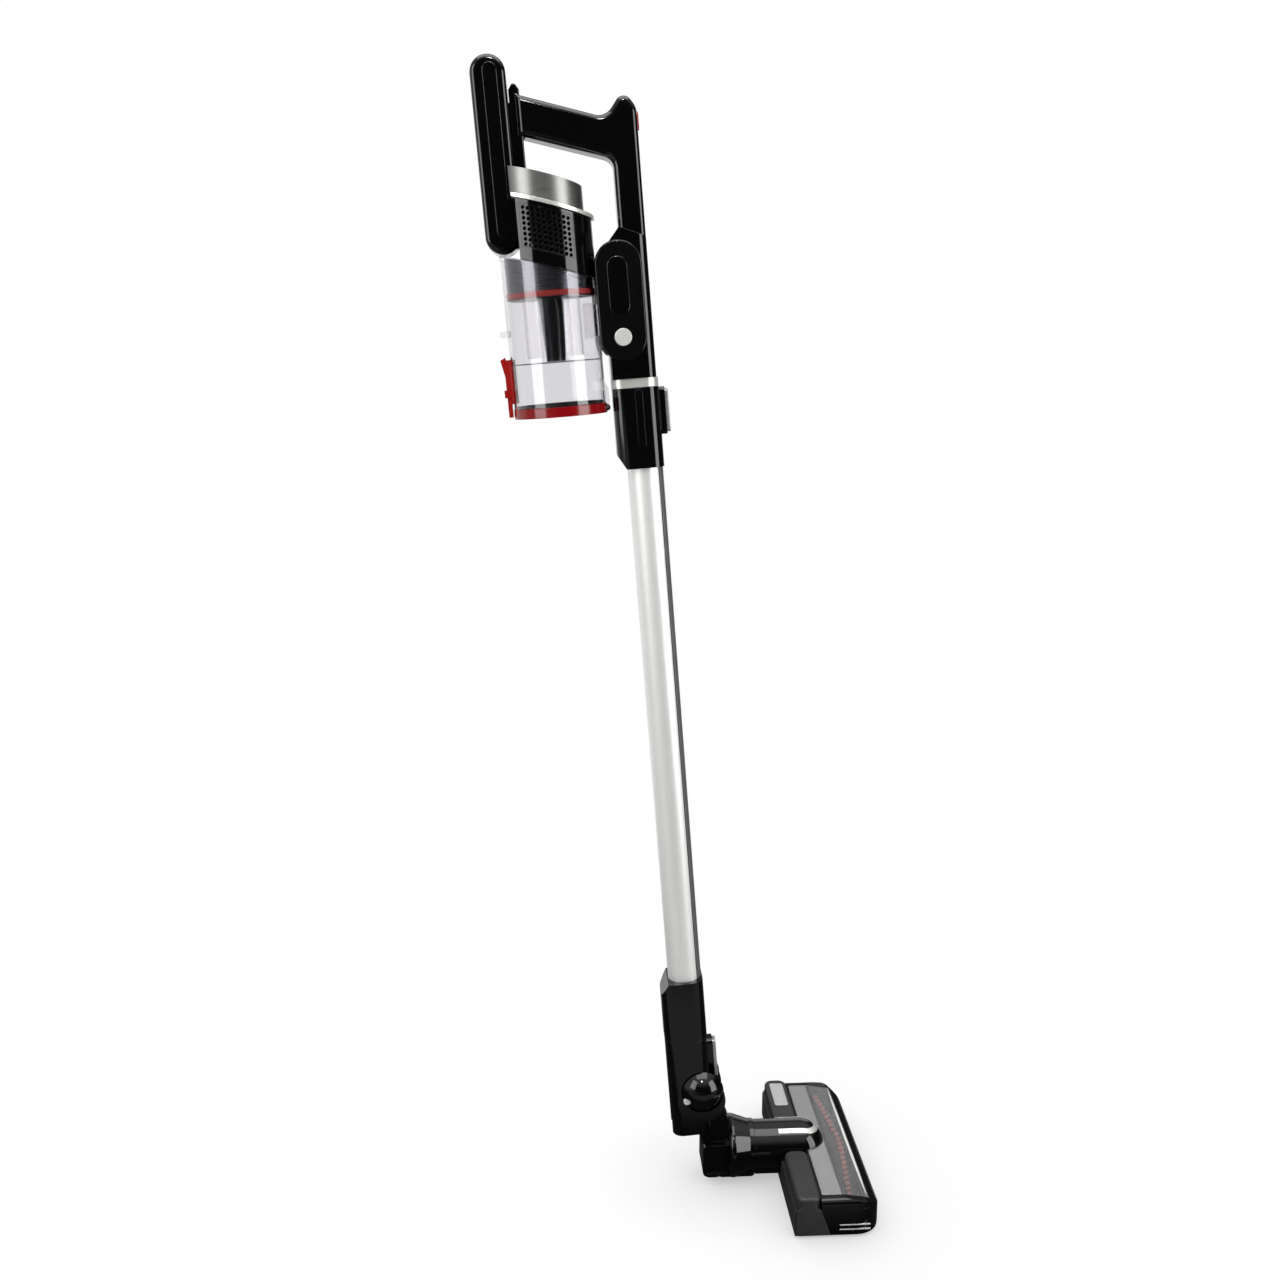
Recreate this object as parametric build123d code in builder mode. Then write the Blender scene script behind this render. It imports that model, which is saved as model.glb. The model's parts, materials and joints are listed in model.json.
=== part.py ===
from build123d import *
from math import cos, radians, sin, tan
import os

os.makedirs("parts", exist_ok=True)

# Cordless stick vacuum cleaner, in millimetres.
# +X is the cleaning direction, +Y the left side, +Z up, and the floor is Z = 0.
# The hand unit, wand and neck share the stick frame: u is forward of the wand's axis, s runs up the wand.

# Stick frame
LEAN = radians(4.5)
STICK = Plane(origin=(15, 0, 102), x_dir=(cos(LEAN), 0, sin(LEAN)), z_dir=(-sin(LEAN), 0, cos(LEAN)))
FORWARD = Axis(STICK.origin, STICK.x_dir)

# Fits and walls
GAP = 0.3
SNUG = 0.2
RUN = 0.05
WALL = 2.5
EDGE = 1.5

# Wand and its collars
WAND_R = 17
WAND_WALL = 1.2
WAND_LOW = 78
WAND_HIGH = 697
COLLAR_FRONT = 18.5
COLLAR_REAR = -26
COLLAR_HALF = 20.5
COLLAR_FRONT_R = 13
COLLAR_REAR_R = 11
UPPER_COLLAR_LOW = 662
UPPER_COLLAR_HIGH = 738
LOWER_COLLAR_LOW = 66
LOWER_COLLAR_HIGH = 131
LOWER_COLLAR_HALF = 21.5
COLLAR_CUT = (8, 16)
COLLAR_RIB = ((-5, 682), (2, 736))
NOZZLE_R = 15
NOZZLE_BORE = 12.6
NOZZLE_LENGTH = 38
LEAD_R = 1.5

# Latch buttons on the collars
LATCH_WIDTH = 13
LATCH_RIM = 2
LATCH_FLOOR = 19
LATCH_RIM_FRONT = 24
LATCH_BACK = 21.5
LATCH_FACE = 27.4
UPPER_LATCH = (694, 737)
LOWER_LATCH = (15, 59)

# Casing: column, grip, spine and the block that holds the duct
BAND_HIGH = 746.5
COLUMN_FRONT = 17
COLUMN_REAR = -8
GRIP_HALF = 16
GRIP_EDGE = 5.5
GRIP_WALL = 3.5
NOSE = (COLUMN_FRONT, 988)
NOSE_R = 16
TIP = (6, 1004)
TIP_R = 8
GRIP_FRONT_TOP = (-12, 981)
GRIP_FRONT_TOP_R = 14
GRIP_REAR_TOP = (-92, 1006.5)
GRIP_REAR_LOW = (-92, 970.6)
GRIP_FRONT_LOW = (COLUMN_REAR, 944.5)
GRIP_FRONT_LOW_R = 11
SPINE_REAR = -97.6
SPINE_FRONT = -87.8
SPINE_HALF = 13
SPINE_LOW = 873
SPINE_TOP = (-92.6, 1017.5)
SPINE_SHOULDER = 1010
RAIL_DEPTH = 3.4
RAIL_HALF = 8
RAIL_LOW = 885
RAIL_HIGH = 1000
BLOCK_REAR = -30
BLOCK_HALF = 22
BLOCK_FRONT_R = 10
BLOCK_REAR_R = 8
BLOCK_TOP = 884
BLOCK_FRONT_TOP = 874
BLOCK_REAR_TOP = 858
BLOCK_REAR_LOW = 778
BLOCK_NECK = 768
BLOCK_HOLLOW = (823, 863)
DUCT_HALF = 11
DUCT_WALL = 2
DUCT_LOW = 788
DUCT_HIGH = 817
SCREWS = [(4.5, 905), (-50, 976), (-18, 846)]
BOSSES = [GRIP_HALF - WALL, GRIP_HALF - WALL, BLOCK_HALF - EDGE]
BOSS_R = 4
SCREW_R = 1.5
SCREW_DEPTH = 11
SCREW_SEAT = 8
SCREW_HEAD_R = 2.8
SCREW_HEAD = 2.5

# Side plates, buttons and the board of the casing
PLATE_WIDTH = 44
PLATE_LENGTH = 109.5
PLATE_CENTRE = (-11.5, 817.8)
PLATE_THICK = 5
PLATE_EDGE = 2
RELEASE_AT = (-12, 785)
RELEASE_R = 8.1
RELEASE_BACK = 19.2
RELEASE_PROUD = 1.2
POWER_LOW = 969
POWER_HIGH = 986
POWER_HALF = 5
POWER_BACK = 8
POWER_PROUD = 1.8
BOARD_U = 2
BOARD_THICK = 1.6
BOARD_HALF = 10
BOARD_LOW = 912
SWITCH_HALF = 4.5
SWITCH_FRONT = 5.2

# Motor housing, fan and filter cap, on slanted planes about the bin's axis
BIN_U = -75.8
TILT = radians(17)
BIN_R = 43.8
BIN_WALL = 2
BIN_LOW = 726.5
RIM = 853
HOUSING_R = 44
HOUSING_LOW = RIM + 0.5
HOUSING_HIGH = 907
HOUSING_REAR = -100
BRIDGE_DEPTH = 6
BRIDGE_LOW = 844
BRIDGE_HIGH = 856
FLANGE_R = 46.5
FLANGE_THICK = 3.5
FLANGE_REAR = -103.5
CAP_R = 37.5
CAP_HIGH = 935
NOTCH_FRONT = SPINE_FRONT
NOTCH_HALF = 24
FAN_U = -61
FAN_R = 20
FAN_HUB_R = 6
FAN_LOW = 862
FAN_HIGH = 870
FAN_DISC = 2
FAN_BLADES = 9
FAN_BLADE = (13, 1.2)
FAN_BLADE_TURN = 30
INTAKE_R = 16
MOTOR_R = 22
MOTOR_PLATE = 870.6
MOTOR_LOW = 873
MOTOR_HIGH = 892
MOTOR_BORE = 10
VENT_R = 3
VENT_RING = 26.5
SHAFT_R = 2.5
GRILLE_ROWS = 8
GRILLE_COLUMNS = 10
GRILLE_HOLE_R = 1.7
GRILLE_PITCH = 4.6
GRILLE_STEP = 6
GRILLE_START = -24
GRILLE_MARGIN = 5

# Battery
BATTERY_REAR = -130.5
BATTERY_FRONT = -98.4
BATTERY_HALF = 23
BATTERY_LOW = 867
BATTERY_HIGH = 1040.5
BATTERY_END_R = 15.9
BATTERY_INSIDE_R = 11
BATTERY_WALL = 2
BATTERY_EDGE = 5
SHELF_LOW = 900
SHELF_HIGH = 903
CELL_R = 8.9
CELL_LENGTH = 65
CELL_SPACE = 2
SOCKET_AT = (-112, 893)
SOCKET_R = 2.75
SOCKET_DEPTH = 8
SOCKET_BOSS_R = 5

# Dust bin and what hangs in it
LIP = 1
LIP_HEIGHT = 4
CUP_R = 40.4
CUP_LOW = 825.5
SEAL_LOW = 826.5
SEAL_HIGH = 831.5
SCOOP_REAR = -47
SHROUD_R = 27
SHROUD_WALL = 2
SHROUD_LOW = 772
CORE_R = 12
CORE_TIP_R = 9
CORE_LOW = 768
TAB_REAR = -126.5
TAB_LOW = 793
TAB_HIGH = 799
TAB_HALF = 5

# Bin lid with its hinge and latch
LID_R = 44.3
LID_RING_R = 38.5
LID_LOW = 717
LID_HIGH = 726.2
LID_SEAL_HEIGHT = 2.4
HINGE_AT = (-31.5, 721.5)
HINGE_R = 3
HINGE_PIN_R = 1.5
LUG_R = 2.9
LUG_THICK = 3
LUG_SLOT = 3.8
LUG_SLOT_DEPTH = 3.7
LUG_TOP = (-33, 748.5)
LUG_BEND = 738.5
LATCH_AT = (-123.3, 741)
LATCH_HALF = 5.8
LATCH_BARREL_R = 3
LATCH_FOOT = (-120.9, 719)
LATCH_HEEL = (-125, 722)
LATCH_WAIST = (-125.2, 757)
LATCH_FLARE = (-128.6, 772.5)
LATCH_TIP = (-123.6, 775)
LATCH_BACK_HIGH = (-122, 757)
LATCH_BACK_LOW = (-120.9, 746)
LATCH_LUG = 2.5
LATCH_LUG_REACH = 3.7
LATCH_LUG_HALF = 3.2
BIN_REAR = -118

# Neck and the pitch pivot
NECK_FRONT = 18
NECK_REAR = -25.5
NECK_REAR_R = 12
NECK_HALF = 22
NECK_LOW = -41
NECK_HIGH = LOWER_COLLAR_LOW - GAP
NECK_REAR_WALL = 3.5
FORK_HALF = 17.5
FORK_TOP = 17.5
SKIRT_FRONT = 15
PIVOT = (7, -3)
PIVOT_PIN_R = 5
PIVOT_PIN_INNER = 11
CHEEK_R = 25.2
COVER_AT = (8.8, 7.4)
COVER_R = 22.2
COVER_HEIGHT = 14.5
COVER_SINK = 1.5
COVER_GROOVE = 0.8
COVER_BALL_R = (COVER_R**2 + COVER_HEIGHT**2) / (2 * COVER_HEIGHT)
CAP_AT = (-8.2, 0.6)
CAP_DISC_R = 4
CAP_PROUD = 4.2
KNUCKLE_R = 19.5
KNUCKLE_HALF = 17
ARM_HALF = 11
ARM_REAR_R = 14

# Elbow, on the swivel's axis along X, with its skid and rear wheels
SWIVEL_Z = 34
SWIVEL_R = 22
SWIVEL_WALL = 4
SWIVEL_REAR = 60
SNAP_X = 66
SNAP_WIDTH = 2
SNAP_HEIGHT = 1.5
RING_R = 27.2
RING_REAR = 75
BELL_R = 33
BELL_REAR = 48
BELL_THROAT_R = 20
BELL_CREST = (54, 58)
BELL_EDGES = (4, 6, 4)
ELBOW_REAR = 24.5
ELBOW_FRONT = 80
ELBOW_AIRWAY_X = 32
ELBOW_AIRWAY_R = 8
BELL_AIRWAY_R = 12
BOX_HALF = 20
BOX_FRONT = 66
BOX_HIGH = 46
BOX_EDGE = 5
SKID_REAR = 27
SKID_HALF = 21.5
SKID_LOW = 10
SKID_HIGH = 14
WHEEL_X = 41
WHEEL_R = 10
WHEEL_INNER = 1.2
WHEEL_OUTER = 6
WHEEL_SLACK = 0.6
WHEEL_WELL_R = 10.8
AXLE_R = 2
AXLE_HALF = 18
ARCH_R = 11
ARCH_DEPTH = 1.6

# Floor head: outer form and covers
HEAD_REAR = 107.5
HEAD_FRONT = 195.5
HEAD_HALF = 115
HEAD_LOW = 3
HEAD_TOP = 41.5
HEAD_CORNER_R = 26
HEAD_EDGE = 6
HEAD_BEND = (158, HEAD_TOP)
HEAD_BROW = (181, 38)
HEAD_BUMPER = (27, 6)
HEAD_CHIN = 4
BARREL_R = 26
BARREL_ROUND_X = 131
TONGUE_HALF = 21
TONGUE_LOW = 10
TONGUE_EDGE = 5
TRIM_HALF = 15.5
TRIM_WIDTH = 4.5
TRIM_REAR = 106
TRIM_ROUND_X = 134.5
TRIM_PROUD = 0.7
TRIM_DEPTH = 1.2
PAD_REAR = 109
PAD_FRONT = 133.7
PAD_FOOT = 143.5
PAD_BEND = 30
PAD_INNER = 28.5
PAD_TOP = 44
PAD_CORNER_R = 9
PAD_EDGE = 3.5
PAD_SLOPE = 6
WINDOW_REAR = 135.9
WINDOW_FRONT = 183.3
WINDOW_HALF = 104.8
WINDOW_DROP = 4
WINDOW_THICK = 2
WINDOW_BEND_R = 30
PANEL_FRONT = 156
PANEL_LOW = 35
LEDGE_HALF = 103

# Floor head: base, brush and drive
BASE_LOW = 2
BASE_HIGH = 29.5
BASE_HALF = 113
BASE_FRONT = 193.2
BASE_CORNER_R = 24
BASE_FLOOR = 4.5
BAY_FRONT = 136
BAY_INNER = 30
BAY_OUTER = 100
AIRWAY_REAR = 112
AIRWAY_HALF = 14
AIRWAY_LOW = 6
AIRWAY_HIGH = 28
OUTLET_FRONT = 138
BRUSH_X = 172
BRUSH_Z = 18.3
BRUSH_R = 8
BRUSH_HALF = 100
BRUSH_SHAFT_R = 3
SHAFT_HOLE_R = 4
SHAFT_RIGHT = -109.5
SHAFT_LEFT = 110.5
CHAMBER_R = 18.8
CHAMBER_HALF = 102
MOUTH_HALF = 14
BRISTLE_R = 17.5
BRISTLE_ROWS = 2
TUFTS_PER_ROW = 22
TUFT_COLUMNS = 4
TUFT_STEP = 1
TUFT_SWEEP = 7
BRISTLE_SIDE = 0.8
BRISTLE_START = 80
BRISTLE_TWIST = 35
BRISTLE_SLEEVE = 0.6
BRISTLE_ROOT = 0.3
BRISTLE_END = 3
PINION_X = 122
PINION_R = 5
PINION_SHAFT_R = 1.5
PULLEY_R = 8
BELT_THICK = 1.2
BELT_LOW = 104
BELT_HIGH = 107.5
BELT_SPACE = 1.8
BELT_SIDE_SPACE = 0.6
BEARING_R = 5
BEARING_WIDTH = 2.4
BRUSH_MOTOR_R = 11
BRUSH_MOTOR_LOW = 45
PINION_SHAFT_LOW = 80
END_CAP_REAR = 147
END_CAP_TOP = 31
END_CAP_Y = -106
GROOVES = (8, 13)
GROOVE_WIDTH = 1.8
GROOVE_DEPTH = 1.2
GROOVE_REAR = 152
GROOVE_FRONT = 184
ROLLER_X = 144
ROLLER_R = 5
ROLLER_Y = 90
ROLLER_WIDTH = 8
ROLLER_SLACK = 0.8
ROLLER_PIN_R = 1.5
ROLLER_PIN_REACH = 4
GLIDE_REAR = 111
GLIDE_FRONT = 119
GLIDE_HALF = 100
GLIDE_R = 3


def at(u, y, s):
    """Point of the stick frame, in the row's frame."""
    return STICK.from_local_coords((u, y, s))


def across(s):
    """Plane square to the stick: x forward, y to the left."""
    return STICK.offset(s)


def beside(y):
    """Plane along the stick that faces right: x forward, y up the stick."""
    return Plane(origin=at(0, y, 0), x_dir=STICK.x_dir, z_dir=(0, -1, 0))


def facing(u):
    """Plane along the stick that faces forward: x to the left, y up the stick."""
    return Plane(origin=at(u, 0, 0), x_dir=(0, 1, 0), z_dir=STICK.x_dir)


def slant(s):
    """Slanted plane that crosses the bin's axis at s and falls towards the front."""
    normal = STICK.x_dir * sin(TILT) + STICK.z_dir * cos(TILT)
    return Plane(origin=at(BIN_U, 0, s), x_dir=(0, 1, 0), z_dir=normal)


def disc(plane, radius, u=0, v=0, bore=0):
    """Round section on a plane, with an optional bore."""
    with BuildSketch(plane) as section:
        with Locations((u, v)):
            Circle(radius)
            if bore:
                Circle(bore, mode=Mode.SUBTRACT)
    return section.sketch


def outline(plane, points, corners=()):
    """Closed outline on a plane, with a radius at some of its corners."""
    with BuildSketch(plane) as section:
        with BuildLine():
            Polyline(*points, close=True)
        make_face()
        for corner, radius in corners:
            fillet(section.vertices().sort_by_distance(corner)[0], radius)
    return section.sketch


def block(plane, low, high, radius=0):
    """Rectangle on a plane between two corners, with rounded corners if a radius is given."""
    width = high[0] - low[0]
    height = high[1] - low[1]
    with BuildSketch(plane) as section:
        with Locations(((low[0] + high[0]) / 2, (low[1] + high[1]) / 2)):
            if radius:
                RectangleRounded(width, height, radius)
            else:
                Rectangle(width, height)
    return section.sketch


def collar_section(s, front, rear, half, front_r=COLLAR_FRONT_R, rear_r=COLLAR_REAR_R):
    """Section of the collars: flat sides, a round front and a softer rear."""
    with BuildSketch(across(s)) as section:
        with Locations(((front + rear) / 2, 0)):
            Rectangle(front - rear, 2 * half)
        fillet(section.vertices().group_by(Axis.X)[-1], front_r)
        fillet(section.vertices().group_by(Axis.X)[0], rear_r)
    return section.sketch


def slanted_drum(radius, low, high):
    """Drum about the bin's axis between two slanted planes."""
    reach = 2 * radius
    with BuildPart() as drum:
        extrude(disc(across(low - reach), radius, BIN_U), amount=high - low + 2 * reach)
        split(bisect_by=slant(low), keep=Keep.TOP)
        split(bisect_by=slant(high), keep=Keep.BOTTOM)
    return drum.part


def notch(front, half):
    """Upright channel behind the motor housing, where the spine and the battery stand."""
    with BuildPart() as channel:
        extrude(block(across(BIN_LOW), (BATTERY_REAR, -half), (front, half)), amount=BATTERY_HIGH - BIN_LOW)
    return channel.part


def mirrored(part):
    """The same piece on the other side of the middle plane."""
    return mirror(part, about=Plane.XZ, mode=Mode.PRIVATE)


def both_sides(part):
    """A piece on the right side together with its mirror image."""
    with BuildPart() as pair:
        add(part)
        add(mirrored(part))
    return pair.part


def finish(part, name):
    """Label a finished piece and write it."""
    part.label = name
    export_step(part, f"parts/{name}.step")


# Wand tube: drawn aluminium
with BuildPart() as wand_tube:
    extrude(disc(across(WAND_LOW), WAND_R, bore=WAND_R - WAND_WALL), amount=WAND_HIGH - WAND_LOW)
finish(wand_tube.part, "wand_tube")

# Wiring lead that runs down inside the tube to the floor head
with BuildPart() as wand_lead:
    lead_u = WAND_R - WAND_WALL - LEAD_R - GAP
    extrude(disc(across(WAND_LOW), LEAD_R, lead_u), amount=WAND_HIGH - WAND_LOW)
finish(wand_lead.part, "wand_lead")


def latch_rim(span):
    """Raised rim around a latch button on the front of a collar."""
    half = LATCH_WIDTH / 2 + LATCH_RIM
    return block(facing(COLUMN_FRONT), (-half, span[0] - LATCH_RIM), (half, span[1]), half / 2)


def latch_opening(span, slack):
    """Outline of a latch button, with some slack around it."""
    half = LATCH_WIDTH / 2 + slack
    low = (-half, span[0] - slack)
    high = (half, span[1] - LATCH_RIM + slack)
    return block(facing(LATCH_FLOOR), low, high, half / 2)


def rear_corner(end, inward):
    """Triangle that takes off the rear corner at one end of a collar."""
    rear = COLLAR_REAR - EDGE
    depth, height = COLLAR_CUT
    return outline(beside(0), [(rear, end + inward * height), (rear, end), (COLLAR_REAR + depth, end)])


# Upper collar: wand socket with the latch rim, a side rib and a cut rear lower corner
with BuildPart() as upper_collar:
    top = UPPER_COLLAR_HIGH - GAP
    collar = collar_section(UPPER_COLLAR_LOW, COLLAR_FRONT, COLLAR_REAR, COLLAR_HALF)
    extrude(collar, amount=top - UPPER_COLLAR_LOW)
    extrude(latch_rim(UPPER_LATCH), amount=LATCH_RIM_FRONT - COLUMN_FRONT)
    for side in (-COLLAR_HALF, COLLAR_HALF + EDGE):
        extrude(block(beside(side), *COLLAR_RIB, radius=WALL), amount=EDGE)
    extrude(disc(across(UPPER_COLLAR_LOW), WAND_R), amount=WAND_HIGH - UPPER_COLLAR_LOW, mode=Mode.SUBTRACT)
    extrude(disc(across(WAND_HIGH), NOZZLE_R + GAP), amount=top - WAND_HIGH, mode=Mode.SUBTRACT)
    extrude(latch_opening(UPPER_LATCH, GAP), amount=LATCH_FACE - LATCH_FLOOR, mode=Mode.SUBTRACT)
    extrude(rear_corner(UPPER_COLLAR_LOW, 1), amount=COLLAR_HALF, both=True, mode=Mode.SUBTRACT)
finish(upper_collar.part, "upper_collar")

# Lower collar: wand socket above, plug for the neck below, with a cut rear upper corner
with BuildPart() as lower_collar:
    half = LOWER_COLLAR_HALF
    collar = collar_section(LOWER_COLLAR_LOW, COLLAR_FRONT, COLLAR_REAR, half, rear_r=NECK_REAR_R)
    extrude(collar, amount=LOWER_COLLAR_HIGH - LOWER_COLLAR_LOW)
    plug_low = LOWER_COLLAR_LOW - NOZZLE_LENGTH
    extrude(disc(across(plug_low), NOZZLE_R), amount=NOZZLE_LENGTH)
    extrude(disc(across(WAND_LOW), WAND_R), amount=LOWER_COLLAR_HIGH - WAND_LOW, mode=Mode.SUBTRACT)
    extrude(disc(across(plug_low), NOZZLE_BORE), amount=WAND_LOW - plug_low, mode=Mode.SUBTRACT)
    extrude(rear_corner(LOWER_COLLAR_HIGH, -1), amount=LOWER_COLLAR_HALF, both=True, mode=Mode.SUBTRACT)
finish(lower_collar.part, "lower_collar")

# Latch buttons: plain pads that are pressed towards the stick
for name, span in (("upper_latch", UPPER_LATCH), ("lower_latch", LOWER_LATCH)):
    with BuildPart() as latch:
        extrude(latch_opening(span, 0), amount=LATCH_FACE - LATCH_FLOOR)
        split(bisect_by=facing(LATCH_BACK), keep=Keep.TOP)
        fillet(latch.faces().sort_by(FORWARD)[-1].edges(), 1)
    finish(latch.part, name)

# Inlet duct: nozzle that plugs into the wand, and a branch that leads back to the bin
with BuildPart() as duct_outside:
    nozzle_low = UPPER_COLLAR_HIGH - NOZZLE_LENGTH
    duct_low = DUCT_LOW - DUCT_WALL
    duct_top = DUCT_HIGH + DUCT_WALL
    duct_half = DUCT_HALF + DUCT_WALL
    extrude(disc(across(nozzle_low), NOZZLE_R), amount=duct_top - nozzle_low)
    extrude(block(across(duct_low), (BLOCK_REAR, -duct_half), (0, duct_half)), amount=duct_top - duct_low)

with BuildPart() as inlet_duct:
    add(duct_outside.part)
    extrude(disc(across(nozzle_low), NOZZLE_BORE), amount=DUCT_HIGH - nozzle_low, mode=Mode.SUBTRACT)
    branch = block(across(DUCT_LOW), (BLOCK_REAR, -DUCT_HALF), (0, DUCT_HALF))
    extrude(branch, amount=DUCT_HIGH - DUCT_LOW, mode=Mode.SUBTRACT)
finish(inlet_duct.part, "inlet_duct")

# Band between the casing and the wand
with BuildPart() as wand_band:
    height = BAND_HIGH - UPPER_COLLAR_HIGH
    extrude(collar_section(UPPER_COLLAR_HIGH, COLLAR_FRONT, COLLAR_REAR, COLLAR_HALF), amount=height)
    extrude(disc(across(UPPER_COLLAR_HIGH), NOZZLE_R), amount=height, mode=Mode.SUBTRACT)
finish(wand_band.part, "wand_band")

# Casing half: column and grip with rounded edges, the spine with its battery rail, and the duct block
column_points = [
    (COLUMN_FRONT, BAND_HIGH),
    NOSE,
    TIP,
    GRIP_FRONT_TOP,
    GRIP_REAR_TOP,
    GRIP_REAR_LOW,
    GRIP_FRONT_LOW,
    (COLUMN_REAR, BAND_HIGH),
]
column_corners = [
    (TIP, TIP_R),
    (GRIP_FRONT_TOP, GRIP_FRONT_TOP_R),
    (GRIP_FRONT_LOW, GRIP_FRONT_LOW_R),
    (NOSE, NOSE_R),
]
column_outline = outline(beside(0), column_points, column_corners)
column_inside = offset(column_outline, amount=-WALL)
spine_points = [
    (SPINE_REAR, SPINE_LOW),
    (SPINE_REAR, SPINE_SHOULDER),
    SPINE_TOP,
    (SPINE_FRONT, SPINE_SHOULDER),
    (SPINE_FRONT, SPINE_LOW),
]
spine_outline = outline(beside(0), spine_points, [(SPINE_TOP, WALL)])
block_points = [
    (COLUMN_FRONT, BAND_HIGH),
    (COLUMN_FRONT, BLOCK_FRONT_TOP),
    (COLUMN_REAR, BLOCK_TOP),
    (BLOCK_REAR, BLOCK_REAR_TOP),
    (BLOCK_REAR, BLOCK_REAR_LOW),
    (COLLAR_REAR, BLOCK_NECK),
    (COLLAR_REAR, BAND_HIGH),
]
with BuildPart() as duct_block:
    section = collar_section(BAND_HIGH, COLUMN_FRONT, BLOCK_REAR, BLOCK_HALF, BLOCK_FRONT_R, BLOCK_REAR_R)
    extrude(section, amount=BLOCK_TOP - BAND_HIGH)
    extrude(outline(beside(0), block_points), amount=BLOCK_HALF, both=True, mode=Mode.INTERSECT)
    hollow_low = (BLOCK_REAR + WALL, -BLOCK_HALF + WALL)
    hollow_high = (COLUMN_FRONT - WALL, BLOCK_HALF - WALL)
    hollow = block(across(BLOCK_HOLLOW[0]), hollow_low, hollow_high, BLOCK_REAR_R - WALL)
    extrude(hollow, amount=BLOCK_HOLLOW[1] - BLOCK_HOLLOW[0], mode=Mode.SUBTRACT)
    split(bisect_by=Plane.XZ, keep=Keep.TOP)

with BuildPart() as casing_half:
    extrude(column_outline, amount=GRIP_HALF)
    fillet(casing_half.faces().sort_by(Axis.Y)[0].edges(), GRIP_EDGE)
    extrude(spine_outline, amount=SPINE_HALF)
    spine_side = casing_half.faces().filter_by(Axis.Y).sort_by(Axis.X)[0]
    fillet(spine_side.edges().filter_by(Axis.Y, reverse=True), EDGE)
    extrude(block(beside(0), (SPINE_REAR - RAIL_DEPTH, RAIL_LOW), (SPINE_REAR, RAIL_HIGH)), amount=RAIL_HALF)
    extrude(column_inside, amount=GRIP_HALF - GRIP_WALL, mode=Mode.SUBTRACT)
    add(duct_block.part)
    add(duct_outside.part, mode=Mode.SUBTRACT)
    for place, boss in zip(SCREWS, BOSSES):
        extrude(disc(beside(0), BOSS_R, *place), amount=boss)
    release_hole = disc(beside(-GRIP_HALF), RELEASE_R + GAP, *RELEASE_AT)
    extrude(release_hole, amount=BLOCK_HALF, mode=Mode.SUBTRACT)
    slack = POWER_HALF + GAP
    power_hole = block(facing(0), (-slack, POWER_LOW - GAP), (slack, POWER_HIGH + GAP))
    extrude(power_hole, amount=2 * COLUMN_FRONT, mode=Mode.SUBTRACT)

with BuildPart() as casing_right:
    add(casing_half.part)
    for place in SCREWS:
        extrude(disc(beside(0), SCREW_R, *place), amount=SCREW_DEPTH, mode=Mode.SUBTRACT)
finish(casing_right.part, "casing_right")

with BuildPart() as casing_left:
    add(mirrored(casing_half.part))
    for place in SCREWS:
        extrude(disc(beside(SCREW_SEAT), SCREW_R, *place), amount=SCREW_SEAT, mode=Mode.SUBTRACT)
        sink = disc(beside(BLOCK_HALF), SCREW_HEAD_R, *place)
        extrude(sink, amount=BLOCK_HALF - SCREW_SEAT, mode=Mode.SUBTRACT)
finish(casing_left.part, "casing_left")

with BuildPart() as casing_screws:
    for place in SCREWS:
        extrude(disc(beside(SCREW_SEAT), SCREW_R, *place), amount=SCREW_SEAT + SCREW_DEPTH - 1)
        extrude(disc(beside(SCREW_SEAT + SCREW_HEAD), SCREW_HEAD_R, *place), amount=SCREW_HEAD)
finish(casing_screws.part, "casing_screws")

# Pill-shaped side plates with a hole for the release button
with BuildPart() as side_plate:
    with BuildSketch(beside(-BLOCK_HALF)):
        with Locations(PLATE_CENTRE):
            SlotOverall(PLATE_LENGTH, PLATE_WIDTH, rotation=90)
    extrude(amount=PLATE_THICK)
    fillet(side_plate.faces().sort_by(Axis.Y)[0].edges(), PLATE_EDGE)
    plate_hole = disc(beside(-BLOCK_HALF), RELEASE_R + GAP, *RELEASE_AT)
    extrude(plate_hole, amount=PLATE_THICK, mode=Mode.SUBTRACT)
finish(side_plate.part, "side_plate_right")
finish(mirrored(side_plate.part), "side_plate_left")

# Release buttons: round, with a softly domed face
with BuildPart() as release_button:
    button = disc(beside(-RELEASE_BACK), RELEASE_R, *RELEASE_AT)
    extrude(button, amount=BLOCK_HALF + PLATE_THICK + RELEASE_PROUD - RELEASE_BACK)
    fillet(release_button.faces().sort_by(Axis.Y)[0].edges(), 1)
finish(release_button.part, "release_button_right")
finish(mirrored(release_button.part), "release_button_left")

# Power button on the front of the column
with BuildPart() as power_button:
    button = block(facing(POWER_BACK), (-POWER_HALF, POWER_LOW), (POWER_HALF, POWER_HIGH), POWER_HALF - RUN)
    extrude(button, amount=COLUMN_FRONT + POWER_PROUD - POWER_BACK)
    fillet(power_button.faces().sort_by(FORWARD)[-1].edges(), 1)
finish(power_button.part, "power_button")

# Control board with the switch behind the button
with BuildPart() as control_board:
    extrude(block(facing(BOARD_U), (-BOARD_HALF, BOARD_LOW), (BOARD_HALF, POWER_HIGH)), amount=BOARD_THICK)
    switch = block(facing(BOARD_U), (-SWITCH_HALF, POWER_LOW + WALL), (SWITCH_HALF, POWER_HIGH - WALL))
    extrude(switch, amount=SWITCH_FRONT - BOARD_U)
finish(control_board.part, "control_board")

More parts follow.
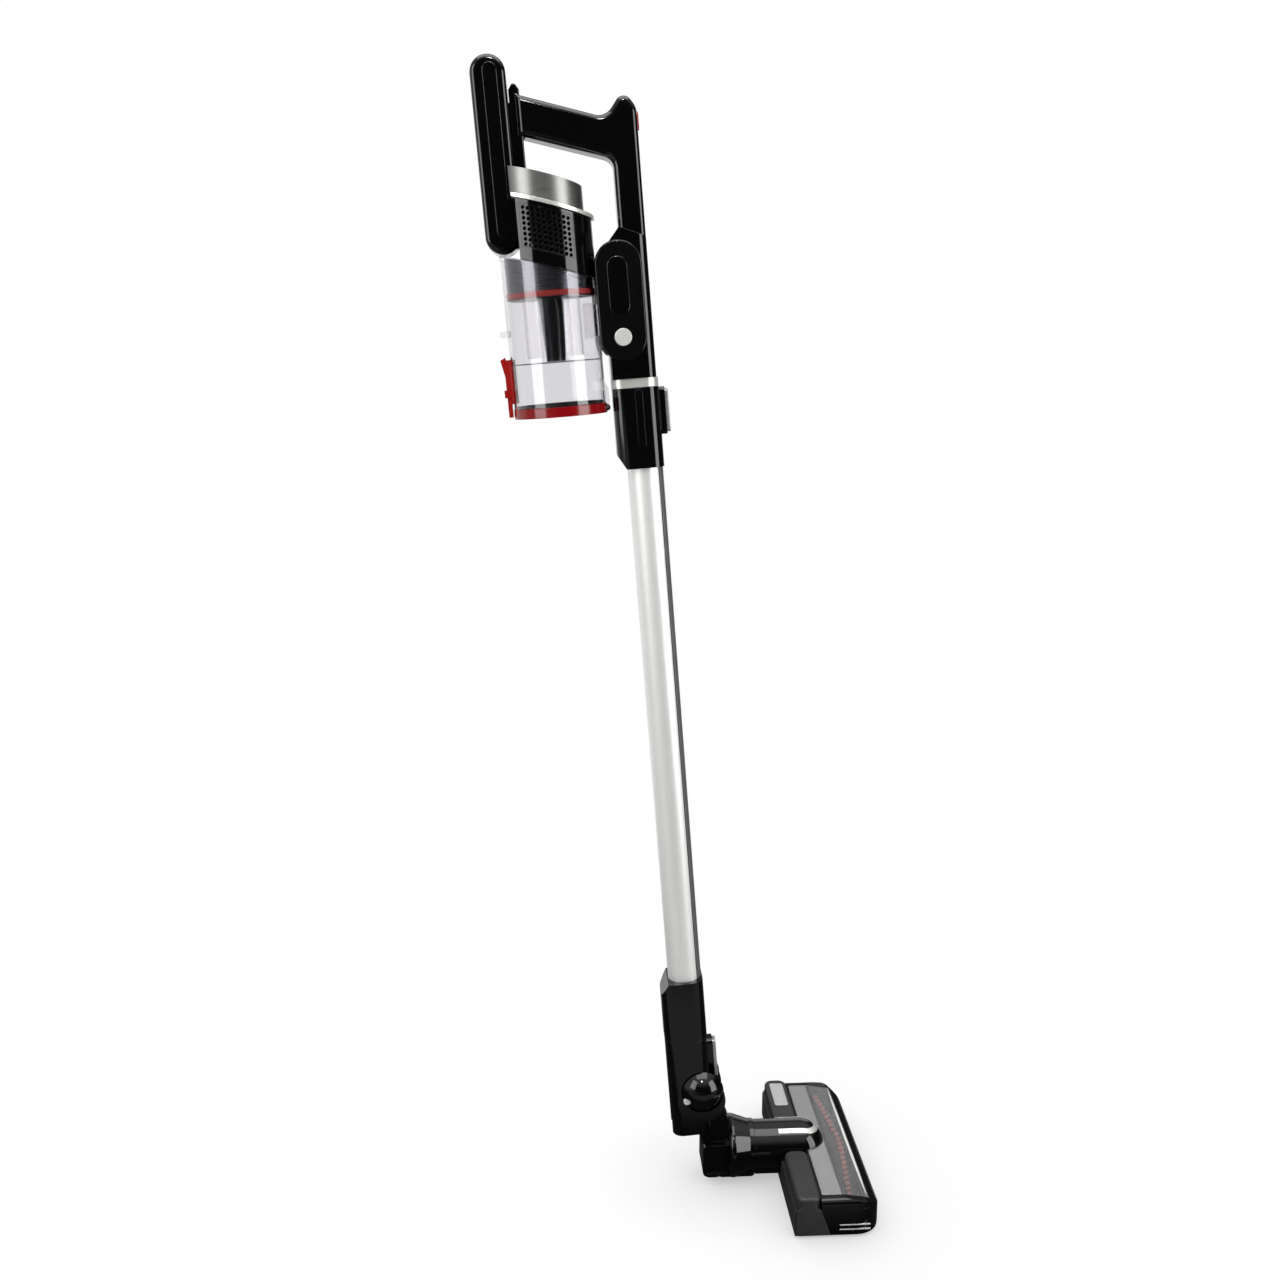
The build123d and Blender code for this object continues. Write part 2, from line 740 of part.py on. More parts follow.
# Motor housing: round shell between the bin's rim and the flange, flat behind, notched for the battery
housing_notch = notch(NOTCH_FRONT, NOTCH_HALF)
housing_wall = notch(NOTCH_FRONT + WALL, NOTCH_HALF + WALL)
housing_outside = slanted_drum(HOUSING_R, HOUSING_LOW, HOUSING_HIGH)
housing_inside = slanted_drum(HOUSING_R - WALL, HOUSING_LOW + WALL, HOUSING_HIGH + WALL)
grille_low = HOUSING_HIGH - GRILLE_MARGIN - GRILLE_ROWS * GRILLE_PITCH
grille_drum = slanted_drum(HOUSING_R, grille_low, HOUSING_HIGH - GRILLE_MARGIN + 1)


def grille_ray(angle):
    """Direction from the bin's axis towards the right side, turned forward by an angle."""
    return STICK.x_dir * sin(radians(angle)) - Vector(0, cos(radians(angle)), 0)


grille_end = GRILLE_START + GRILLE_STEP * (GRILLE_COLUMNS - 1)
with BuildPart() as grille_sector:
    add(grille_drum)
    reach = 2 * HOUSING_R
    sector_points = [(BIN_U, 0)]
    for angle in (GRILLE_START - GRILLE_MARGIN, grille_end + GRILLE_MARGIN):
        sector_points.append((BIN_U + reach * sin(radians(angle)), -reach * cos(radians(angle))))
    extrude(outline(across(BIN_LOW), sector_points), amount=BATTERY_HIGH - BIN_LOW, mode=Mode.INTERSECT)
    ring_bore = disc(across(BIN_LOW), HOUSING_R - WALL, BIN_U)
    extrude(ring_bore, amount=BATTERY_HIGH - BIN_LOW, mode=Mode.SUBTRACT)

with BuildPart() as housing_hollow:
    add(housing_inside)
    add(housing_wall, mode=Mode.SUBTRACT)
    add(notch(HOUSING_REAR + WALL, HOUSING_R), mode=Mode.SUBTRACT)

with BuildPart() as motor_housing:
    add(housing_outside)
    bridge = block(across(BRIDGE_LOW), (BLOCK_REAR - BRIDGE_DEPTH, -DUCT_HALF), (BLOCK_REAR, DUCT_HALF))
    extrude(bridge, amount=BRIDGE_HIGH - BRIDGE_LOW)
    add(housing_hollow.part, mode=Mode.SUBTRACT)
    extrude(disc(across(MOTOR_PLATE), HOUSING_R - 1, BIN_U), amount=MOTOR_LOW - MOTOR_PLATE)
    add(housing_notch, mode=Mode.SUBTRACT)
    add(notch(HOUSING_REAR, HOUSING_R), mode=Mode.SUBTRACT)
    extrude(disc(across(BRIDGE_LOW), INTAKE_R, FAN_U), amount=FAN_LOW - BRIDGE_LOW, mode=Mode.SUBTRACT)
    extrude(disc(across(FAN_HIGH), MOTOR_BORE, FAN_U), amount=MOTOR_LOW - FAN_HIGH, mode=Mode.SUBTRACT)
    for angle in (-90, -30, 30, 90):
        vent_u = FAN_U + VENT_RING * cos(radians(angle))
        vent = disc(across(FAN_HIGH), VENT_R, vent_u, VENT_RING * sin(radians(angle)))
        extrude(vent, amount=MOTOR_LOW - FAN_HIGH, mode=Mode.SUBTRACT)
    add(grille_sector.part, mode=Mode.SUBTRACT)
    add(mirrored(grille_sector.part), mode=Mode.SUBTRACT)
finish(motor_housing.part, "motor_housing")

# Exhaust grilles: curved plates with rows of round holes that follow the slant
grille_holes = []
for column in range(GRILLE_COLUMNS):
    angle = GRILLE_START + GRILLE_STEP * column
    ray = grille_ray(angle)
    fall = -HOUSING_R * sin(radians(angle)) * tan(TILT)
    for row in range(GRILLE_ROWS):
        s = HOUSING_HIGH - GRILLE_MARGIN - GRILLE_PITCH * (row + 0.5) + fall
        grille_holes.append(Plane(origin=at(BIN_U, 0, s) + ray * HOUSING_R, z_dir=ray))
with BuildPart() as grille:
    add(grille_sector.part)
    with Locations(*grille_holes):
        Cylinder(GRILLE_HOLE_R, 4 * WALL, mode=Mode.SUBTRACT)
finish(both_sides(grille.part), "exhaust_grilles")

# Fan: motor can, and the wheel with its blades and shaft
with BuildPart() as fan_motor:
    extrude(disc(across(MOTOR_LOW), MOTOR_R, FAN_U, bore=SHAFT_R + RUN), amount=MOTOR_HIGH - MOTOR_LOW)
finish(fan_motor.part, "fan_motor")

with BuildPart() as fan_wheel:
    extrude(disc(across(FAN_HIGH - FAN_DISC), FAN_R, FAN_U), amount=FAN_DISC)
    extrude(disc(across(FAN_LOW), FAN_HUB_R, FAN_U), amount=FAN_HIGH - FAN_LOW)
    extrude(disc(across(FAN_LOW), SHAFT_R, FAN_U), amount=MOTOR_HIGH - FAN_LOW)
    with BuildSketch(across(FAN_LOW)):
        with Locations((FAN_U, 0)):
            with PolarLocations((FAN_R + FAN_HUB_R) / 2 - 1, FAN_BLADES):
                Rectangle(*FAN_BLADE, rotation=FAN_BLADE_TURN)
    extrude(amount=FAN_HIGH - FAN_LOW - 1)
finish(fan_wheel.part, "fan_wheel")

# Filter cap with its flange and the exhaust filter, lifted off as one
cap_notch = notch(NOTCH_FRONT + GAP, NOTCH_HALF + GAP)
cap_inner_notch = notch(NOTCH_FRONT + GAP + WALL, NOTCH_HALF + GAP + WALL)
filter_notch = notch(NOTCH_FRONT + 2 * WALL, NOTCH_HALF + 2 * WALL)
flange_low = HOUSING_HIGH + GAP
flange_high = flange_low + FLANGE_THICK
cap_outside = slanted_drum(CAP_R, flange_high, CAP_HIGH)
cap_inside = slanted_drum(CAP_R - WALL, flange_high - WALL, CAP_HIGH - WALL)
flange_disc = slanted_drum(FLANGE_R, flange_low, flange_high)
flange_bore = slanted_drum(CAP_R - WALL, flange_low - WALL, flange_high + WALL)
filter_drum = slanted_drum(CAP_R - WALL - 1, flange_low + 1, CAP_HIGH - WALL)

with BuildPart() as cap_hollow:
    add(cap_inside)
    add(cap_inner_notch, mode=Mode.SUBTRACT)

with BuildPart() as filter_cap:
    add(cap_outside)
    add(cap_notch, mode=Mode.SUBTRACT)
    add(cap_hollow.part, mode=Mode.SUBTRACT)
finish(filter_cap.part, "filter_cap")

with BuildPart() as flange_hollow:
    add(flange_bore)
    add(cap_inner_notch, mode=Mode.SUBTRACT)

with BuildPart() as cap_flange:
    add(flange_disc)
    add(cap_notch, mode=Mode.SUBTRACT)
    add(flange_hollow.part, mode=Mode.SUBTRACT)
    add(notch(FLANGE_REAR, FLANGE_R), mode=Mode.SUBTRACT)
finish(cap_flange.part, "cap_flange")

with BuildPart() as exhaust_filter:
    add(filter_drum)
    add(filter_notch, mode=Mode.SUBTRACT)
finish(exhaust_filter.part, "exhaust_filter")

# Battery: case with a channel for the rail, a shelf for the cells and a charging socket
with BuildPart() as battery_case:
    shell = block(beside(0), (BATTERY_REAR, BATTERY_LOW), (BATTERY_FRONT, BATTERY_HIGH), BATTERY_END_R)
    extrude(shell, amount=BATTERY_HALF, both=True)
    fillet(battery_case.faces().filter_by(Axis.Y).edges(), BATTERY_EDGE)
    rail_floor = SPINE_REAR - RAIL_DEPTH - GAP
    inside_low = (BATTERY_REAR + BATTERY_WALL, BATTERY_LOW + WALL)
    inside_high = (rail_floor - WALL, BATTERY_HIGH - WALL)
    inside = block(beside(0), inside_low, inside_high, BATTERY_INSIDE_R)
    extrude(inside, amount=BATTERY_HALF - WALL, both=True, mode=Mode.SUBTRACT)
    shelf_half = BATTERY_HALF - 1
    shelf = block(across(SHELF_LOW), (BATTERY_REAR + 1, -shelf_half), (rail_floor - 1, shelf_half))
    extrude(shelf, amount=SHELF_HIGH - SHELF_LOW)
    channel = block(beside(0), (rail_floor, BATTERY_LOW - WALL), (SPINE_REAR, RAIL_HIGH + GAP))
    extrude(channel, amount=RAIL_HALF + GAP, both=True, mode=Mode.SUBTRACT)
    socket_floor = BATTERY_HALF - SOCKET_DEPTH
    extrude(disc(beside(EDGE - socket_floor), SOCKET_BOSS_R, *SOCKET_AT), amount=SOCKET_DEPTH)
    extrude(disc(beside(-socket_floor), SOCKET_R, *SOCKET_AT), amount=SOCKET_DEPTH, mode=Mode.SUBTRACT)
finish(battery_case.part, "battery_case")

with BuildPart() as battery_cells:
    cell_u = (BATTERY_REAR + BATTERY_WALL + rail_floor - WALL) / 2
    cell_y = CELL_R + 0.5
    for low in (SHELF_HIGH, SHELF_HIGH + CELL_LENGTH + CELL_SPACE):
        for y in (-cell_y, cell_y):
            extrude(disc(across(low), CELL_R, cell_u, y), amount=CELL_LENGTH)
finish(battery_cells.part, "battery_cells")

# Dust bin: clear tube with a slanted rim and lip, an inlet, lugs for the lid and the latch
bin_lip = slanted_drum(BIN_R + LIP, RIM - LIP_HEIGHT, RIM)
with BuildPart() as dust_bin:
    extrude(disc(across(BIN_LOW), BIN_R, BIN_U), amount=RIM - BIN_LOW + BIN_R)
    split(bisect_by=slant(RIM), keep=Keep.BOTTOM)
    add(bin_lip)
    lug_rear = BIN_U + BIN_R - LUG_THICK
    lug_front = HINGE_AT[0] + LUG_R
    lug = [(lug_rear, BIN_LOW), (lug_rear, LUG_TOP[1]), LUG_TOP, (lug_front, LUG_BEND)]
    lug += [(lug_front, HINGE_AT[1]), (HINGE_AT[0] - LUG_R, HINGE_AT[1])]
    for y in (LUG_THICK - DUCT_HALF, DUCT_HALF):
        extrude(outline(beside(y), lug), amount=LUG_THICK)
        extrude(disc(beside(y), LUG_R, *HINGE_AT), amount=LUG_THICK)
    lug_low = (LATCH_AT[0] - LATCH_LUG_REACH, LATCH_AT[1] - LATCH_LUG_HALF)
    lug_high = (BIN_REAR, LATCH_AT[1] + LATCH_LUG_HALF)
    for y in (-LATCH_HALF - GAP, LATCH_HALF + GAP + LATCH_LUG):
        extrude(block(beside(y), lug_low, lug_high, 2), amount=LATCH_LUG)
    tab = block(beside(TAB_HALF), (TAB_REAR, TAB_LOW), (BIN_REAR, TAB_HIGH), 2)
    extrude(tab, amount=2 * TAB_HALF)
    bore = disc(across(BIN_LOW), BIN_R - BIN_WALL, BIN_U)
    extrude(bore, amount=RIM - BIN_LOW + BIN_R, mode=Mode.SUBTRACT)
    inlet = block(across(DUCT_LOW), (BIN_U, -DUCT_HALF), (BLOCK_REAR, DUCT_HALF))
    extrude(inlet, amount=DUCT_HIGH - DUCT_LOW, mode=Mode.SUBTRACT)
    for place in (HINGE_AT, LATCH_AT):
        extrude(disc(beside(0), HINGE_PIN_R, *place), amount=BIN_R, both=True, mode=Mode.SUBTRACT)
finish(dust_bin.part, "dust_bin")

# Scoop inside the inlet that turns the air along the bin's wall
with BuildPart() as inlet_scoop:
    scoop_low = DUCT_LOW - EDGE
    scoop_height = DUCT_HIGH - DUCT_LOW + 2 * EDGE
    scoop_half = DUCT_HALF + EDGE
    scoop = block(across(scoop_low), (SCOOP_REAR, -scoop_half), (BLOCK_REAR, scoop_half))
    extrude(scoop, amount=scoop_height)
    hollow = block(across(DUCT_LOW), (SCOOP_REAR + EDGE, -DUCT_HALF), (BLOCK_REAR, scoop_half + EDGE))
    extrude(hollow, amount=DUCT_HIGH - DUCT_LOW, mode=Mode.SUBTRACT)
    wall = disc(across(scoop_low), BIN_R - BIN_WALL, BIN_U)
    extrude(wall, amount=scoop_height, mode=Mode.INTERSECT)
finish(inlet_scoop.part, "inlet_scoop")

# Filter cup in the top of the bin, its red seal, and the cyclone that hangs from it
with BuildPart() as cup_hollow:
    extrude(disc(across(CUP_LOW + WALL), CUP_R - WALL, BIN_U), amount=RIM - CUP_LOW + BIN_R)
    split(bisect_by=slant(RIM - WALL - GAP), keep=Keep.BOTTOM)

with BuildPart() as filter_cup:
    extrude(disc(across(CUP_LOW), CUP_R, BIN_U), amount=RIM - CUP_LOW + BIN_R)
    split(bisect_by=slant(RIM - GAP), keep=Keep.BOTTOM)
    add(cup_hollow.part, mode=Mode.SUBTRACT)
    extrude(disc(across(CUP_LOW), INTAKE_R, FAN_U), amount=RIM - CUP_LOW, mode=Mode.SUBTRACT)
finish(filter_cup.part, "filter_cup")

with BuildPart() as bin_seal:
    seal = disc(across(SEAL_LOW), BIN_R - BIN_WALL - GAP, BIN_U, bore=CUP_R)
    extrude(seal, amount=SEAL_HIGH - SEAL_LOW)
finish(bin_seal.part, "bin_seal")

with BuildPart() as cyclone_shroud:
    shroud = disc(across(SHROUD_LOW), SHROUD_R, BIN_U, bore=SHROUD_R - SHROUD_WALL)
    extrude(shroud, amount=CUP_LOW - SHROUD_LOW)
finish(cyclone_shroud.part, "cyclone_shroud")

with BuildPart() as cyclone_core:
    loft([disc(across(CORE_LOW), CORE_TIP_R, BIN_U), disc(across(CUP_LOW), CORE_R, BIN_U)])
finish(cyclone_core.part, "cyclone_core")

# Bin lid: red ring with a hinge barrel at the front, a clear plate and a seal
with BuildPart() as lid_ring:
    extrude(disc(across(LID_LOW), LID_R, BIN_U, bore=LID_RING_R), amount=LID_HIGH - LID_LOW)
    slot_side = (LUG_SLOT - LUG_THICK) / 2
    slot_rear = HINGE_AT[0] - LUG_SLOT_DEPTH
    for y in (-DUCT_HALF - slot_side, DUCT_HALF - LUG_THICK - slot_side):
        slot = block(across(LID_LOW - 1), (slot_rear, y), (0, y + LUG_SLOT))
        extrude(slot, amount=LID_HIGH - LID_LOW + 2, mode=Mode.SUBTRACT)
    barrel_half = DUCT_HALF - LUG_THICK - slot_side
    extrude(disc(beside(0), HINGE_R, *HINGE_AT), amount=barrel_half, both=True)
    extrude(disc(beside(0), HINGE_PIN_R + RUN, *HINGE_AT), amount=DUCT_HALF, both=True, mode=Mode.SUBTRACT)
finish(lid_ring.part, "lid_ring")

with BuildPart() as lid_plate:
    extrude(disc(across(LID_LOW + 1), LID_RING_R, BIN_U), amount=WALL)
finish(lid_plate.part, "lid_plate")

with BuildPart() as lid_seal:
    seal = disc(across(LID_HIGH), BIN_R - BIN_WALL - 2 * GAP, BIN_U, bore=LID_RING_R)
    extrude(seal, amount=LID_SEAL_HEIGHT)
finish(lid_seal.part, "lid_seal")

# Lid latch: red rocker with a flared top, on its own pin
with BuildPart() as bin_latch:
    rocker = [LATCH_FOOT, (LATCH_HEEL[0], LATCH_FOOT[1]), LATCH_HEEL, LATCH_WAIST, LATCH_FLARE, LATCH_TIP]
    rocker += [LATCH_BACK_HIGH, LATCH_BACK_LOW]
    extrude(outline(beside(0), rocker, [(LATCH_FLARE, 1), (LATCH_WAIST, 8)]), amount=LATCH_HALF, both=True)
    extrude(disc(beside(0), LATCH_BARREL_R, *LATCH_AT), amount=LATCH_HALF, both=True)
    extrude(disc(beside(0), HINGE_PIN_R + RUN, *LATCH_AT), amount=LATCH_HALF, both=True, mode=Mode.SUBTRACT)
finish(bin_latch.part, "bin_latch")

# Steel pins of the lid's hinge and of the latch
with BuildPart() as bin_pins:
    extrude(disc(beside(0), HINGE_PIN_R, *HINGE_AT), amount=DUCT_HALF, both=True)
    extrude(disc(beside(0), HINGE_PIN_R, *LATCH_AT), amount=LATCH_HALF + GAP + LATCH_LUG, both=True)
finish(bin_pins.part, "bin_pins")

# Neck: socket for the wand's plug above, fork with two round-fronted cheeks below
with BuildPart() as neck_shell:
    section = collar_section(NECK_LOW, NECK_FRONT, NECK_REAR, NECK_HALF, rear_r=NECK_REAR_R)
    extrude(section, amount=NECK_HIGH - NECK_LOW)
    extrude(latch_rim(LOWER_LATCH), amount=LATCH_RIM_FRONT - COLUMN_FRONT)
    below = block(beside(0), (SKIRT_FRONT, NECK_LOW), (NECK_FRONT, PIVOT[1]))
    extrude(below, amount=NECK_HALF, both=True, mode=Mode.SUBTRACT)
    extrude(disc(beside(0), CHEEK_R, *PIVOT), amount=NECK_HALF, both=True)
    fork = block(beside(0), (NECK_REAR + NECK_REAR_WALL, NECK_LOW), (2 * CHEEK_R, FORK_TOP))
    extrude(fork, amount=FORK_HALF, both=True, mode=Mode.SUBTRACT)
    rear_slot = block(beside(0), (NECK_REAR, NECK_LOW), (0, 0))
    extrude(rear_slot, amount=ARM_HALF + 2 * GAP, both=True, mode=Mode.SUBTRACT)
    plug_hole = disc(across(plug_low - GAP), NOZZLE_R + GAP)
    extrude(plug_hole, amount=NECK_HIGH - plug_low + GAP, mode=Mode.SUBTRACT)
    extrude(disc(across(0), NOZZLE_BORE), amount=plug_low, mode=Mode.SUBTRACT)
    extrude(latch_opening(LOWER_LATCH, GAP), amount=LATCH_FACE - LATCH_FLOOR, mode=Mode.SUBTRACT)
    extrude(disc(beside(0), PIVOT_PIN_R, *PIVOT), amount=NECK_HALF, both=True, mode=Mode.SUBTRACT)
    for y in (COVER_SINK - NECK_HALF, NECK_HALF):
        extrude(disc(beside(y), COVER_R + COVER_GROOVE, *COVER_AT), amount=COVER_SINK, mode=Mode.SUBTRACT)
finish(neck_shell.part, "neck_shell")

# Domed covers over the pivot with a small silver cap in each, and the stub pins behind them
cover_foot = NECK_HALF - COVER_SINK
with BuildPart() as pivot_cover:
    with Locations(at(COVER_AT[0], COVER_BALL_R - COVER_HEIGHT - cover_foot, COVER_AT[1])):
        Sphere(COVER_BALL_R)
    split(bisect_by=Plane.XZ.offset(cover_foot), keep=Keep.TOP)
    extrude(disc(beside(-cover_foot), CAP_DISC_R, *CAP_AT), amount=COVER_HEIGHT, mode=Mode.SUBTRACT)
finish(both_sides(pivot_cover.part), "pivot_covers")

with BuildPart() as neck_cap:
    extrude(disc(beside(-cover_foot), CAP_DISC_R, *CAP_AT), amount=COVER_SINK + CAP_PROUD)
    fillet(neck_cap.faces().sort_by(Axis.Y)[0].edges(), 1)
finish(both_sides(neck_cap.part), "neck_caps")

with BuildPart() as pivot_pin:
    extrude(disc(beside(-PIVOT_PIN_INNER), PIVOT_PIN_R, *PIVOT), amount=cover_foot - PIVOT_PIN_INNER)
finish(both_sides(pivot_pin.part), "pivot_pins")

# Elbow: knuckle and arm between the neck's cheeks, bell and ring around the swivel, box and skid below
swivel_axis = Axis((0, 0, SWIVEL_Z), (1, 0, 0))
pivot_point = at(PIVOT[0], 0, PIVOT[1])
knuckle = (pivot_point.X, pivot_point.Z)
crest_rear, crest_front = BELL_CREST
bell_points = [
    (BELL_REAR, SWIVEL_Z),
    (BELL_REAR, SWIVEL_Z + BELL_THROAT_R),
    (crest_rear, SWIVEL_Z + BELL_R),
    (crest_front, SWIVEL_Z + BELL_R),
    (RING_REAR, SWIVEL_Z + RING_R),
    (ELBOW_FRONT, SWIVEL_Z + RING_R),
    (ELBOW_FRONT, SWIVEL_Z),
]
bell_outline = outline(Plane.XZ, bell_points, zip(bell_points[2:5], BELL_EDGES))
arm_points = [
    (knuckle[0] - KNUCKLE_R, knuckle[1]),
    (knuckle[0] + KNUCKLE_R, knuckle[1]),
    (crest_rear, SWIVEL_Z + BELL_R - 2),
    (crest_rear, SWIVEL_Z),
    (ELBOW_REAR, SWIVEL_Z),
    (ELBOW_REAR, BOX_HIGH + WALL),
]


def along_y(radius, x, z, low, high):
    """Cylinder along Y between two places."""
    with BuildPart() as body:
        extrude(disc(Plane.XZ.offset(-high), radius, x, z), amount=high - low)
    return body.part


with BuildPart() as elbow:
    revolve(bell_outline, swivel_axis)
    extrude(outline(Plane.XZ, arm_points, [(arm_points[5], ARM_REAR_R)]), amount=ARM_HALF, both=True)
    extrude(disc(Plane.XZ, KNUCKLE_R, *knuckle), amount=KNUCKLE_HALF, both=True)
    box = block(Plane.XZ, (ELBOW_REAR, SKID_LOW), (BOX_FRONT, BOX_HIGH), BOX_EDGE)
    extrude(box, amount=BOX_HALF, both=True)
    for side in (-BOX_HALF, BOX_HALF):
        arch = disc(Plane.XZ.offset(side), ARCH_R, WHEEL_X, SKID_HIGH)
        extrude(arch, amount=ARCH_DEPTH, both=True, mode=Mode.SUBTRACT)
    skid = block(Plane.XY.offset(SKID_LOW), (SKID_REAR, -SKID_HALF), (ELBOW_FRONT, SKID_HALF), BOX_EDGE)
    extrude(skid, amount=SKID_HIGH - SKID_LOW)
    split(bisect_by=Plane.XY.offset(SKID_LOW), keep=Keep.TOP)
    for low, high in ((-WHEEL_OUTER, -WHEEL_INNER), (WHEEL_INNER, WHEEL_OUTER)):
        well = along_y(WHEEL_WELL_R, WHEEL_X, WHEEL_R, low - WHEEL_SLACK, high + WHEEL_SLACK)
        add(well, mode=Mode.SUBTRACT)
    add(along_y(AXLE_R + RUN, WHEEL_X, WHEEL_R, -SKID_HALF, SKID_HALF), mode=Mode.SUBTRACT)
    bore_rear = SWIVEL_REAR - EDGE
    swivel_bore = disc(Plane.YZ.offset(bore_rear), SWIVEL_R + RUN, 0, SWIVEL_Z)
    extrude(swivel_bore, amount=ELBOW_FRONT - bore_rear, mode=Mode.SUBTRACT)
    snap_groove = disc(Plane.YZ.offset(SNAP_X - GAP), SWIVEL_R + SNAP_HEIGHT + GAP, 0, SWIVEL_Z)
    extrude(snap_groove, amount=SNAP_WIDTH + 2 * GAP, mode=Mode.SUBTRACT)
    bell_airway = disc(Plane.YZ.offset(ELBOW_AIRWAY_X), BELL_AIRWAY_R, 0, SWIVEL_Z)
    extrude(bell_airway, amount=SWIVEL_REAR - ELBOW_AIRWAY_X, mode=Mode.SUBTRACT)
    elbow_airway = disc(Plane.XY.offset(SWIVEL_Z), ELBOW_AIRWAY_R, ELBOW_AIRWAY_X)
    extrude(elbow_airway, amount=knuckle[1], mode=Mode.SUBTRACT)
    add(along_y(PIVOT_PIN_R + RUN, *knuckle, -KNUCKLE_HALF, KNUCKLE_HALF), mode=Mode.SUBTRACT)
finish(elbow.part, "elbow")

# Rear wheels on one axle that turns in the elbow
with BuildPart() as rear_wheels:
    add(along_y(AXLE_R, WHEEL_X, WHEEL_R, -AXLE_HALF, AXLE_HALF))
    add(along_y(WHEEL_R, WHEEL_X, WHEEL_R, WHEEL_INNER, WHEEL_OUTER))
    add(along_y(WHEEL_R, WHEEL_X, WHEEL_R, -WHEEL_OUTER, -WHEEL_INNER))
    fillet(rear_wheels.edges().filter_by(GeomType.CIRCLE).group_by(SortBy.RADIUS)[-1], 1)
finish(rear_wheels.part, "rear_wheels")


def barrel_body(extra):
    """Barrel on the swivel's axis with a ball-shaped front end, grown by a little."""
    barrel_rear = ELBOW_FRONT + GAP
    with BuildPart() as body:
        section = disc(Plane.YZ.offset(barrel_rear), BARREL_R + extra, 0, SWIVEL_Z)
        extrude(section, amount=BARREL_ROUND_X - barrel_rear)
        with Locations((BARREL_ROUND_X, 0, SWIVEL_Z)):
            Sphere(BARREL_R + extra)
    return body.part


# Upright band with the U shape of the barrel's trim, cut off a little below the barrel's skin
trim_floor = barrel_body(-TRIM_DEPTH)
trim_skin = barrel_body(TRIM_PROUD)
trim_inner = TRIM_HALF - TRIM_WIDTH
with BuildPart() as trim_band:
    with BuildSketch(Plane.XY.offset(SWIVEL_Z)):
        for half, mode in ((TRIM_HALF, Mode.ADD), (trim_inner, Mode.SUBTRACT)):
            with Locations(((TRIM_REAR + TRIM_ROUND_X) / 2, 0)):
                Rectangle(TRIM_ROUND_X - TRIM_REAR, 2 * half, mode=mode)
            with Locations((TRIM_ROUND_X, 0)):
                Circle(half, mode=mode)
    extrude(amount=2 * BARREL_R)
    add(trim_floor, mode=Mode.SUBTRACT)

# Barrel: swivel spigot with a snap ridge behind, a tongue below, airway inside, outlet down into the base
barrel_plain = barrel_body(0)
with BuildPart() as barrel:
    add(barrel_plain)
    spigot = disc(Plane.YZ.offset(SWIVEL_REAR), SWIVEL_R, 0, SWIVEL_Z)
    extrude(spigot, amount=ELBOW_FRONT + WALL - SWIVEL_REAR)
    snap = disc(Plane.YZ.offset(SNAP_X), SWIVEL_R + SNAP_HEIGHT, 0, SWIVEL_Z)
    extrude(snap, amount=SNAP_WIDTH)
    tongue_rear = ELBOW_FRONT + GAP
    tongue_low = (-TONGUE_HALF, TONGUE_LOW)
    tongue = block(Plane.YZ.offset(tongue_rear), tongue_low, (TONGUE_HALF, SWIVEL_Z), TONGUE_EDGE)
    extrude(tongue, amount=HEAD_REAR - SNUG - tongue_rear)
    airway = disc(Plane.YZ.offset(SWIVEL_REAR), SWIVEL_R - SWIVEL_WALL, 0, SWIVEL_Z)
    extrude(airway, amount=BARREL_ROUND_X - SWIVEL_REAR, mode=Mode.SUBTRACT)
    outlet = block(Plane.XY.offset(SWIVEL_Z), (AIRWAY_REAR, -AIRWAY_HALF), (OUTLET_FRONT, AIRWAY_HALF), 4)
    extrude(outlet, amount=-BARREL_R, mode=Mode.SUBTRACT)
    add(trim_band.part, mode=Mode.SUBTRACT)
finish(barrel.part, "barrel")

with BuildPart() as barrel_trim:
    add(trim_band.part)
    add(trim_skin, mode=Mode.INTERSECT)
finish(barrel_trim.part, "barrel_trim")


def head_plan(low, high, front, half, corner):
    """Block with the head's plan: square behind, two large round corners in front."""
    with BuildPart() as body:
        with BuildSketch(Plane.XY.offset(low)) as plan:
            with Locations(((HEAD_REAR + front) / 2, 0)):
                Rectangle(front - HEAD_REAR, 2 * half)
            fillet(plan.vertices().group_by(Axis.X)[-1], corner)
        extrude(amount=high - low)
    return body.part


# Outer form of the head: round front corners, a top that slopes down to the bumper, soft ends
side_points = [
    (HEAD_REAR, HEAD_LOW),
    (HEAD_REAR, HEAD_TOP),
    HEAD_BEND,
    HEAD_BROW,
    (HEAD_FRONT, HEAD_BUMPER[0]),
    (HEAD_FRONT, HEAD_BUMPER[1]),
    (HEAD_FRONT - HEAD_CHIN, HEAD_LOW),
]
side_corners = [(side_points[2], WINDOW_BEND_R), (side_points[3], 12), (side_points[4], 9)]
head_block = head_plan(HEAD_LOW, HEAD_TOP, HEAD_FRONT, HEAD_HALF, HEAD_CORNER_R)
with BuildPart() as head_outside:
    add(head_block)
    extrude(outline(Plane.XZ, side_points, side_corners), amount=HEAD_HALF, both=True, mode=Mode.INTERSECT)
    ends = [(-HEAD_HALF, HEAD_LOW), (-HEAD_HALF, HEAD_TOP), (HEAD_HALF, HEAD_TOP), (HEAD_HALF, HEAD_LOW)]
    end_section = outline(Plane.YZ, ends, [(ends[1], HEAD_EDGE), (ends[2], HEAD_EDGE)])
    extrude(end_section, amount=HEAD_FRONT, mode=Mode.INTERSECT)

